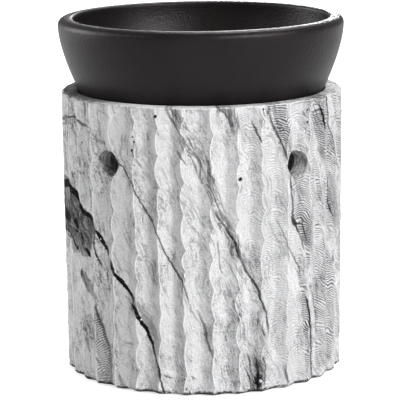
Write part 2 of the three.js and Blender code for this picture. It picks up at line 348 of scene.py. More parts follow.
def gouged_surface(sizes):
    """Angle, radius and height of the outside's points in rows and columns, in radians and millimetres,
    and the numbers that its material needs at each point."""
    pitch = sizes.stroke_pitch / MM
    per_flute = sizes.samples_per_flute
    column = np.arange(FLUTE_COUNT * per_flute)
    flute = (column // per_flute).astype(float)[None, :]
    even = (column / per_flute)[None, :] - flute
    across = even - RIDGE_CROWDING * np.sin(2 * math.pi * even)
    foot, top = BODY_LOW.z, BODY_HIGH.z
    heights, insets = wall_rows(sizes)
    share_up = (heights - foot) / (top - foot)
    radius = (sizes.base_radius + (sizes.top_radius - sizes.base_radius) * share_up) / MM
    ridges = ridge_angles()

    def ridge(index):
        place = np.mod(index, FLUTE_COUNT)
        row, up = stroke_at(place, heights + STROKE_ARCH, pitch)
        bulge = STROKE_BULGE + scatter(place, row, BULGE) * BULGE_SPREAD
        wander = RIDGE_WANDER * np.sin(heights / 8.5 + place * 2.1) * np.sin(heights / 23 + place * 1.3)
        shift = bulge * (2 / 3 - 4 * up * (1 - up)) + wander
        return ridges[index.astype(int)] + np.degrees(shift / radius)

    left, right = ridge(flute), ridge(flute + 1)
    angle = np.radians(left + (right - left) * across)

    side = np.where(across < VALLEY_SHARE, VALLEY_SHARE, 1 - VALLEY_SHARE)
    from_valley = np.abs(across - VALLEY_SHARE) / side
    blunt = VALLEY_ROUNDNESS
    section = 1 - (np.sqrt(from_valley ** 2 + blunt ** 2) - blunt) / (math.sqrt(1 + blunt ** 2) - blunt)
    off_middle = (2 * across - 1) ** 2
    row, up = stroke_at(flute, heights + STROKE_ARCH * off_middle, pitch)
    deepest = sizes.flute_depth / MM + scatter(flute, row, DEPTH) * DEPTH_SPREAD
    entering = np.clip((up - (1 - ENTRY_SHARE)) / ENTRY_SHARE, 0, 1) ** 2
    running_out = np.clip(1 - up / RUNOUT_SHARE, 0, 1) ** 2
    fade = smooth_step(top - heights, -0.2, 1.2)
    depth = (deepest - ENTRY_DEPTH * entering - RUNOUT_DEPTH * running_out) * section * fade
    shape = radius - insets - depth
    points = round_points(angle, shape, heights)
    uneven = 0.16 * lumps(points, 4.5, 1.6, 3.1) + 0.07 * lumps(points, 1.7, 1.4, 8.7)
    low_down = np.clip(1 - (heights - foot) / FOOT_WEAR_HEIGHT, 0, 1)
    edge_worn = FOOT_WEAR * low_down * (1 + lumps(points, 2.2, 1, 5.5))
    worked = shape + uneven * (0.3 + 0.7 * fade) - SURFACE_INSET - edge_worn

    # Painted shade on the side of a flute that faces left, away from the light, less at a stroke's top and
    # more at its foot
    facet = smooth_step(across, 0.5, 0.62) * (1 - smooth_step(across, 0.92, 1))
    painted_flute_shade = (facet - 0.35 * (up > 0.9) + 0.25 * (up < 0.08)) * fade
    # Painted shade just left of each ridge's edge, and a painted highlight just right of it and along each
    # stroke's arch
    arch = entering * np.clip(1.2 * section, 0, 1)
    shade_left_of_ridge = np.clip(1 - (1 - across) / 0.07, 0, 1)
    highlight_right_of_ridge = 1.6 * np.clip(1 - across / 0.06, 0, 1)
    crest_shade_and_highlight = (shade_left_of_ridge - highlight_right_of_ridge - 0.9 * arch) * fade
    arched = np.broadcast_to(1 - off_middle, shape.shape)
    kept = {PAINTED_FLUTE_SHADE: painted_flute_shade, CREST_SHADE_AND_HIGHLIGHT: crest_shade_and_highlight, ARCHED: arched, OUTSIDE: np.ones(shape.shape)}
    return angle, worked, heights, kept


def press_edges(angle, radius, heights, sizes):
    """Rounds the surface inwards round each vent and the doorway, as fingers do on wet clay."""
    def press(radius, distance, on_this_side):
        distance = np.where(on_this_side, distance, FAR_AWAY)
        return radius - PRESS_DEPTH * np.clip(1 - distance / PRESS_WIDTH, 0, 1) ** 2

    centre = BODY_HIGH.z - sizes.vent_drop / MM
    for side in (-1, 1):
        turn = angle - side * sizes.vent_angle
        turn = (turn + math.pi) % (2 * math.pi) - math.pi
        distance = np.hypot(radius * np.sin(turn), heights - centre) - sizes.vent_diameter / MM / 2
        radius = press(radius, distance, np.cos(turn) > 0)
    x, y = radius * np.sin(angle), -radius * np.cos(angle)
    half = sizes.door_width / MM / 2
    springing = CUP_LOW.z + sizes.door_height / MM - half
    above = np.hypot(x, heights - springing) - half
    beside = np.maximum(np.abs(x) - half, CUP_LOW.z - heights)
    return press(radius, np.where(heights > springing, above, beside), y > 0)


def outside_blank(sizes):
    """The body's outside as a closed form with a flat cap at each end."""
    angle, radius, heights, kept = gouged_surface(sizes)
    radius = press_edges(angle, radius, heights, sizes)
    rows, columns = radius.shape
    points = round_points(angle, radius, heights)
    vertices = [(0, 0, BODY_LOW.z), *points.reshape(-1, 3).tolist(), (0, 0, BODY_HIGH.z)]
    faces = []
    start = 1 + (rows - 1) * columns
    for i in range(columns):
        j = (i + 1) % columns
        faces.append([0, 1 + j, 1 + i])
        faces.append([len(vertices) - 1, start + i, start + j])
    for k in range(rows - 1):
        low, high = 1 + k * columns, 1 + (k + 1) * columns
        for i in range(columns):
            j = (i + 1) % columns
            faces.append([low + i, low + j, high + j, high + i])
    piece = new_mesh("body_ceramic", vertices, faces)
    for name, grid in kept.items():
        attribute = piece.data.attributes.new(name, "FLOAT", "POINT")
        attribute.data.foreach_set("value", np.concatenate([[0], grid.reshape(-1), [grid[-1, -1]]]))
    return piece


# How far a cutter reaches past the clay
OVERSHOOT = 5


def chamber_cutter(sizes):
    """The chamber, with its rounded floor edge and the rounded seat of the bowl."""
    floor, top = CUP_LOW.z, BODY_HIGH.z
    bend, seat = sizes.floor_round / MM, sizes.seat_round / MM
    opening = opening_radius()
    profile = np.concatenate([
        [[0, floor]],
        arc(sizes.chamber_radius / MM - bend, floor + bend, bend, -90, 0, 8),
        arc(opening + seat, top - seat, seat, 180, 90, 8),
        [[opening + seat, top + OVERSHOOT], [0, top + OVERSHOOT]],
    ])
    return new_mesh("chamber_cutter", *turned(profile, segments=192))


def recess_cutter(sizes):
    """The shallow recess under the foot, with soft edges."""
    radius, depth = sizes.recess_radius / MM, sizes.recess_depth / MM
    soft = 0.5
    below = BODY_LOW.z - OVERSHOOT
    profile = np.concatenate([
        [[0, below], [radius + soft, below]],
        arc(radius + soft, BODY_LOW.z + soft, soft, -90, -180, 4),
        arc(radius - soft, BODY_LOW.z + depth - soft, soft, 0, 90, 4),
        [[0, BODY_LOW.z + depth]],
    ])
    return new_mesh("recess_cutter", *turned(profile, segments=128))


def prism(name, outline, near, far, far_outline=None):
    """A closed prism from an outline of (x, z) points at y = near to the same or another one at y = far."""
    count = len(outline)
    vertices = [(x, near, z) for x, z in outline] + [(x, far, z) for x, z in far_outline or outline]
    faces = [list(range(count)), list(range(2 * count - 1, count - 1, -1))]
    for i in range(count):
        j = (i + 1) % count
        faces.append([j, i, count + i, count + j])
    return new_mesh(name, vertices, faces)


def door_cutter(sizes):
    """The arched doorway at the back, with rounded lower corners."""
    half, corner = sizes.door_width / MM / 2, 3
    floor = CUP_LOW.z
    springing = floor + sizes.door_height / MM - half
    outline = np.concatenate([
        arc(-half + corner, floor + corner, corner, 180, 270, 6),
        arc(half - corner, floor + corner, corner, 270, 360, 6),
        arc(0, springing, half, 0, 180, 48),
    ])
    outermost = 60
    return prism("door_cutter", outline.tolist(), 0, outermost)


# Shares of a vent's radius at every 30 degrees from the right, and how far its hole sits below its place
VENT_SHAPES = {
    -1: ((0.96, 0.76, 1.08, 1.04, 1.04, 1, 0.98, 0.98, 1, 1.06, 1.08, 1.08), 0),
    1: ((1, 1.08, 1.04, 0.92, 0.9, 0.88, 1, 1.02, 1.04, 1, 1.02, 0.96), 0.8),
}
# Share of its radius that a vent loses for each millimetre inwards
VENT_NARROWING = 0.03
VENT_REACH = 10
VENT_STEPS = 48
# Steps by which a vent's outline turns from its outer to its inner end
VENT_TWIST = 8


def vent_cutter(sizes, side):
    """A hand-bored hole, out of round and a little twisted. The right one sits a little lower."""
    shares, drop = VENT_SHAPES[side]
    turns = np.linspace(0, 2 * math.pi, VENT_STEPS, endpoint=False)
    radius = np.interp(turns, np.linspace(0, 2 * math.pi, len(shares) + 1), [*shares, shares[0]])
    radius = radius * sizes.vent_diameter / MM / 2

    def outline(inwards, twist):
        size = np.roll(radius, twist) * (1 - VENT_NARROWING * inwards)
        return np.stack([size * np.cos(turns), size * np.sin(turns) - drop], 1).tolist()

    wall = -sizes.top_radius / MM
    cutter = prism(
        "vent_cutter", outline(-VENT_REACH, 0), wall - VENT_REACH, wall + VENT_REACH,
        outline(VENT_REACH, VENT_TWIST)
    )
    lift = Matrix.Translation((0, 0, (BODY_HIGH.z - sizes.vent_drop / MM) * MM))
    cutter.data.transform(lift @ Matrix.Rotation(side * sizes.vent_angle, 4, "Z"))
    return cutter


class LAMP_OT_body(bpy.types.Operator):
    """Make the gouged, marbled ceramic body with its chamber, vents and doorway"""
    bl_idname = "lamp.body"
    bl_label = "Body"

    def execute(self, context):
        sizes = context.scene.lamp_body
        body = outside_blank(sizes)
        cutters = [chamber_cutter(sizes), recess_cutter(sizes), door_cutter(sizes)]
        cutters += [vent_cutter(sizes, side) for side in (-1, 1)]
        for cutter in cutters:
            cut(body, cutter)
        sharp_degrees = 42
        body.data.shade_smooth()
        body.data.set_sharp_from_angle(angle=math.radians(sharp_degrees))
        dress(body, marble(sizes), "body", "veined_ceramic", "body")
        return {"FINISHED"}


class LAMP_OT_bowl(bpy.types.Operator):
    """Make the black glazed bowl"""
    bl_idname = "lamp.bowl"
    bl_label = "Bowl"

    def execute(self, context):
        sizes = context.scene.lamp_bowl
        foot, top = BOWL_LOW.z, BOWL_HIGH.z
        radius = BOWL_HIGH.x
        foot_radius = sizes.foot_radius / MM
        outer, inner = sizes.rim_outer_round / MM, sizes.rim_inner_round / MM
        inside = radius - sizes.rim_width / MM
        widest = top - outer
        floor = foot + sizes.floor_thickness / MM
        recess = sizes.recess_depth / MM
        recess_radius = foot_radius - sizes.ring_width / MM
        pull = widest - sizes.wall_fullness / MM
        floor_radius = sizes.inner_floor_radius / MM
        outside_wall = bezier(
            (foot_radius, foot), (foot_radius + sizes.foot_fullness / MM, foot), (radius, pull),
            (radius, widest), 48
        )
        inside_wall = bezier(
            (inside, top - inner), (inside, pull), (floor_radius + sizes.inner_fullness / MM, floor),
            (floor_radius, floor), 48
        )
        profile = np.concatenate([
            [[0, foot + recess], [recess_radius - recess, foot + recess], [recess_radius, foot]],
            outside_wall,
            arc(radius - outer, widest, outer, 0, 90, 12)[1:],
            arc(inside + inner, top - inner, inner, 90, 180, 8),
            inside_wall[1:],
            [[0, floor]],
        ])
        bowl = new_mesh("bowl_glazed", *turned(profile, segments=192), sharp_degrees=50)
        dress(bowl, black_glaze(sizes), "bowl", "black_glaze", "bowl")
        return {"FINISHED"}


class LAMP_OT_tealight(bpy.types.Operator):
    """Make the tealight's cup, wax, wick and clip"""
    bl_idname = "lamp.tealight"
    bl_label = "Tealight"

    def execute(self, context):
        sizes = context.scene.lamp_tealight
        self.make_cup(sizes)
        self.make_wax(sizes)
        self.make_wick(sizes)
        self.make_clip(sizes)
        return {"FINISHED"}

    def make_cup(self, sizes):
        base, top = CUP_LOW.z, CUP_HIGH.z
        wall, roll, bend = sizes.wall / MM, sizes.roll / MM, sizes.foot_round / MM
        radius = CUP_HIGH.x - roll
        inner = radius - wall
        rows = 40
        outside = np.linspace(base + bend, top - 2.2 * roll, rows)
        ring, ring_height = 5.5, 0.15
        profile = np.concatenate([
            [[0, base], [ring - 0.5, base], [ring, base + ring_height], [ring + 0.5, base]],
            arc(radius - bend, base + bend, bend, -90, 0, 8),
            np.stack([np.full(rows, radius), outside], 1)[1:],
            arc(radius, top - roll, roll, -70, 170, 18),
            np.stack([np.full(rows, inner), outside], 1)[::-1],
            arc(inner - bend, base + wall + bend, bend, 0, -90, 8)[1:],
            [[0, base + wall]],
        ])

        def crimped(angles, ring_radius, height):
            above_foot = smooth_step(height, base + bend, base + 2.5 * bend)
            weight = above_foot * smooth_step(top - height, 3 * roll, 6 * roll)
            on_wall = ring_radius > inner - 0.01
            wave = 1 + np.cos(sizes.crimps * angles)
            return ring_radius - on_wall * weight * sizes.crimp_depth / MM * wave / 2

        cup = new_mesh("tealight_cup_pressed", *turned(profile, sizes.crimps * 6, crimped))
        dress(cup, foil(sizes), "tealight", "cup_aluminium", "tealight_cup")

    def make_wax(self, sizes):
        base, top, radius = WAX_LOW.z, WAX_HIGH.z, WAX_HIGH.x
        bend = sizes.foot_round / MM
        gap = WAX_LOW.z - CUP_LOW.z - sizes.wall / MM
        pocket, pocket_top = CLIP_HIGH.x + gap, CLIP_LOW.z + 2 * gap
        bore, bore_foot = 2 * WICK_HIGH.y, CLIP_HIGH.z + gap
        dip, mound = 0.45, 0.3
        hole = WICK_HIGH.y * 1.08
        outwards = np.linspace(0, 1, 40)
        dish = top - dip + dip * outwards ** 24 + mound * (1 - outwards) ** 5
        surface = np.stack([hole + (radius - hole) * outwards, dish], 1)[::-1]
        profile = np.concatenate([
            [[pocket, base]],
            arc(radius - bend, base + bend, bend, -90, 0, 8),
            surface,
            [[hole, bore_foot], [bore, bore_foot], [bore, pocket_top], [pocket, pocket_top], [pocket, base]],
        ])
        wax = new_mesh("tealight_wax_fill", *turned(profile, segments=120))
        dress(wax, paraffin(sizes), "tealight", "wax", "tealight_wax")

    def make_wick(self, sizes):
        foot, top, radius = WICK_LOW.z, WICK_HIGH.z, WICK_HIGH.x
        strands, twist = 3, 2.6
        heights = np.linspace(foot, top, 140)
        tapers = 1 - 0.3 * smooth_step(heights, top - 0.5, top)
        profile = [[0, foot], *([radius * taper, height] for taper, height in zip(tapers, heights)), [0, top]]

        def braided(angles, ring_radius, height):
            over = np.abs(np.cos(strands * (angles + twist * height) / 2))
            under = np.abs(np.cos(strands * (angles - twist * height) / 2))
            return ring_radius * (0.8 + 0.2 * np.maximum(over, under))

        wick = new_mesh("tealight_wick_braid", *turned(profile, 36, braided))
        dress(wick, braid(sizes), "tealight", "cotton", "tealight_wick")

    def make_clip(self, sizes):
        foot, top, radius = CLIP_LOW.z, CLIP_HIGH.z, CLIP_HIGH.x
        bore = 1.5 * WICK_HIGH.y
        sheet = 0.3
        neck, curl = bore + sheet, 0.3
        profile = [
            [bore, foot], [radius - curl, foot], [radius, foot + sheet / 2], [radius - curl, foot + sheet],
            [neck + curl, foot + sheet], [neck, foot + sheet + curl], [neck, top], [bore, top], [bore, foot],
        ]
        clip = new_mesh("wick_clip_stamped", *turned(profile, segments=72))
        dress(clip, tin_plate(), "tealight", "clip_steel", "wick_clip")


class LAMP_OT_pads(bpy.types.Operator):
    """Make the four felt pads under the base"""
    bl_idname = "lamp.pads"
    bl_label = "Felt Pads"

    def execute(self, context):
        sizes = context.scene.lamp_pads
        material = felt(sizes)
        edge = sizes.edge_round / MM
        for index in range(PAD_COUNT):
            node = f"base_pad_{index + 1}"
            low, high = node_size(node)
            radius = (high.x - low.x) / 2
            profile = np.concatenate([
                [[0, low.z], [radius * 0.5, low.z]],
                arc(radius - edge, low.z + edge, edge, -90, 0, 5),
                arc(radius - edge, high.z - edge, edge, 0, 90, 5),
                [[radius * 0.5, high.z], [0, high.z]],
            ])

            def cut_by_hand(angles, ring_radius, height):
                out_of_round = 0.06 * (1 + np.sin(3 * angles + index))
                return ring_radius - out_of_round - 0.04 * (1 + np.sin(11 * angles))

            vertices, faces = turned(profile, 96, cut_by_hand)
            middle = np.array([(low.x + high.x) / 2, (low.y + high.y) / 2, 0])
            pad = new_mesh(f"felt_pad_{index + 1}", np.array(vertices) + middle, faces)
            dress(pad, material, "body", "felt", node)
        return {"FINISHED"}


# Materials

class Nodes:
    """A node tree, with short calls that add a node and give back its output."""

    def __init__(self, tree):
        self.tree = tree

    def add(self, kind, **settings):
        node = self.tree.nodes.new(kind)
        for key, value in settings.items():
            setattr(node, key, value)
        return node

    def join(self, value, socket):
        """Links a socket, or sets a plain value. A colour is given without its alpha."""
        if isinstance(value, bpy.types.NodeSocket):
            self.tree.links.new(value, socket)
        elif socket.type == "RGBA":
            socket.default_value = (*value, 1)
        else:
            socket.default_value = value

    def maths(self, operation, *values):
        node = self.add("ShaderNodeMath", operation=operation)
        for value, socket in zip(values, node.inputs):
            self.join(value, socket)
        return node.outputs[0]

    def times(self, first, *others):
        for other in others:
            first = self.maths("MULTIPLY", first, other)
        return first

    def plus(self, first, *others):
        for other in others:
            first = self.maths("ADD", first, other)
        return first

    def most(self, first, *others):
        for other in others:
            first = self.maths("MAXIMUM", first, other)
        return first

    def minus(self, first, second):
        return self.maths("SUBTRACT", first, second)

    def times_plus(self, value, factor, more):
        return self.maths("MULTIPLY_ADD", value, factor, more)


class Recipe(Nodes):
    """A material, whose patterns lie in the piece's own space."""

    def __init__(self, name):
        self.material = bpy.data.materials.new(name)
        self.material.use_nodes = True
        super().__init__(self.material.node_tree)
        self.shader = self.tree.nodes["Principled BSDF"]
        self.place = self.add("ShaderNodeTexCoord").outputs["Object"]

    def ramp(self, value, low, high, to_low=0.0, to_high=1.0, smooth=True):
        """Maps a value between two limits to another pair, held at its ends if smooth and else running on."""
        # A smooth ramp holds its ends by itself, and clamps would all be worked out last, which takes memory
        kind = "SMOOTHSTEP" if smooth else "LINEAR"
        node = self.add("ShaderNodeMapRange", interpolation_type=kind, clamp=False)
        for item, socket in zip((value, low, high, to_low, to_high), node.inputs):
            self.join(item, socket)
        return node.outputs[0]

    def noise(self, vector, scale, detail=2.0, roughness=0.5, distortion=0.0):
        """Noise from 0 to 1, with about scale lumps in a metre."""
        node = self.add("ShaderNodeTexNoise")
        self.join(vector, node.inputs["Vector"])
        for key, value in (
            ("Scale", scale), ("Detail", detail), ("Roughness", roughness), ("Distortion", distortion)
        ):
            self.join(value, node.inputs[key])
        return node.outputs["Fac"]

    def shift(self, value, noise, amount):
        """A value moved to and fro by noise, by up to about half the amount."""
        return self.times_plus(self.minus(noise, 0.5), amount, value)

    def vector(self, x, y, z):
        node = self.add("ShaderNodeCombineXYZ")
        for value, socket in zip((x, y, z), node.inputs):
            self.join(value, socket)
        return node.outputs[0]

    def attribute(self, name):
        """A number that the mesh keeps at each of its points."""
        return self.add("ShaderNodeAttribute", attribute_name=name).outputs["Fac"]

    def stretch(self, vector, *factors):
        """Space scaled along its axes, so that a factor under 1 draws a pattern out."""
        node = self.add("ShaderNodeMapping")
        self.join(vector, node.inputs["Vector"])
        self.join(factors, node.inputs["Scale"])
        return node.outputs[0]

    def mix(self, factor, first, second):
        node = self.add("ShaderNodeMix", data_type="RGBA")
        # The factor, and the two inputs that take colours
        for value, place in ((factor, 0), (first, 6), (second, 7)):
            self.join(value, node.inputs[place])
        return node.outputs[2]

    def bump(self, height, strength, distance, normal=None):
        """Bumps of a depth in millimetres, on top of an earlier bump's normal."""
        node = self.add("ShaderNodeBump")
        node.inputs["Strength"].default_value = strength
        node.inputs["Distance"].default_value = distance * MM
        self.join(height, node.inputs["Height"])
        if normal is not None:
            self.join(normal, node.inputs["Normal"])
        return node.outputs["Normal"]

    def finish(self, colour, roughness, normal=None, **settings):
        """Sets or links the shader's colour, roughness, normal and other inputs."""
        self.join(colour, self.shader.inputs["Base Color"])
        self.join(roughness, self.shader.inputs["Roughness"])
        if normal is not None:
            self.join(normal, self.shader.inputs["Normal"])
        for key, value in settings.items():
            self.join(value, self.shader.inputs[key.replace("_", " ")])
        return self.material


def toned(colour, factor):
    """A colour made darker or lighter by a factor."""
    return tuple(value * factor for value in colour)


# The marbling, with angles in degrees from the front and heights and widths in millimetres

# A degree round the wall, in millimetres
BODY_RADIUS = 50
DEGREE = math.pi * BODY_RADIUS / 180
# Radius of the smooth wall on which the marks were placed, and how much they may slip in its flutes
SMOOTH_RADIUS = 49.7
STEEPEST_SLANT = 2.6
# The half width and the height that a share of 1 stands for in a mark's curves
WIDEST_MARK = 24
HIGHEST_MARK = 100
# How many times its width a leaning vein may measure along its row
LONGEST_LEAN = 3
# The ripples' spacing, and how far they rise in the middle of a flute
RIPPLE_PITCH = 0.82
RIPPLE_RISE = 1.7
# Lean of the marble's flow in degrees
FLOW_LEAN = 24

Mark = namedtuple("Mark", "points soft level smoky ripple lines")


def vein(*points, soft=0.25, level=False):
    """A vein through points of (angle, height, width, darkness). A level one runs across, not up."""
    return Mark(points, soft, level, smoky=False, ripple=0, lines=0)


def shade(*rows, soft=1.0, ripple=0, lines=0):
    """A smoky patch through rows of (height, left angle, right angle, darkness). Ripples or fine lines
    break it up by a share."""
    points = [
        ((left + right) / 2, height, abs(right - left) * DEGREE, dark) for height, left, right, dark in rows
    ]
    return Mark(points, soft, level=False, smoky=True, ripple=ripple, lines=lines)


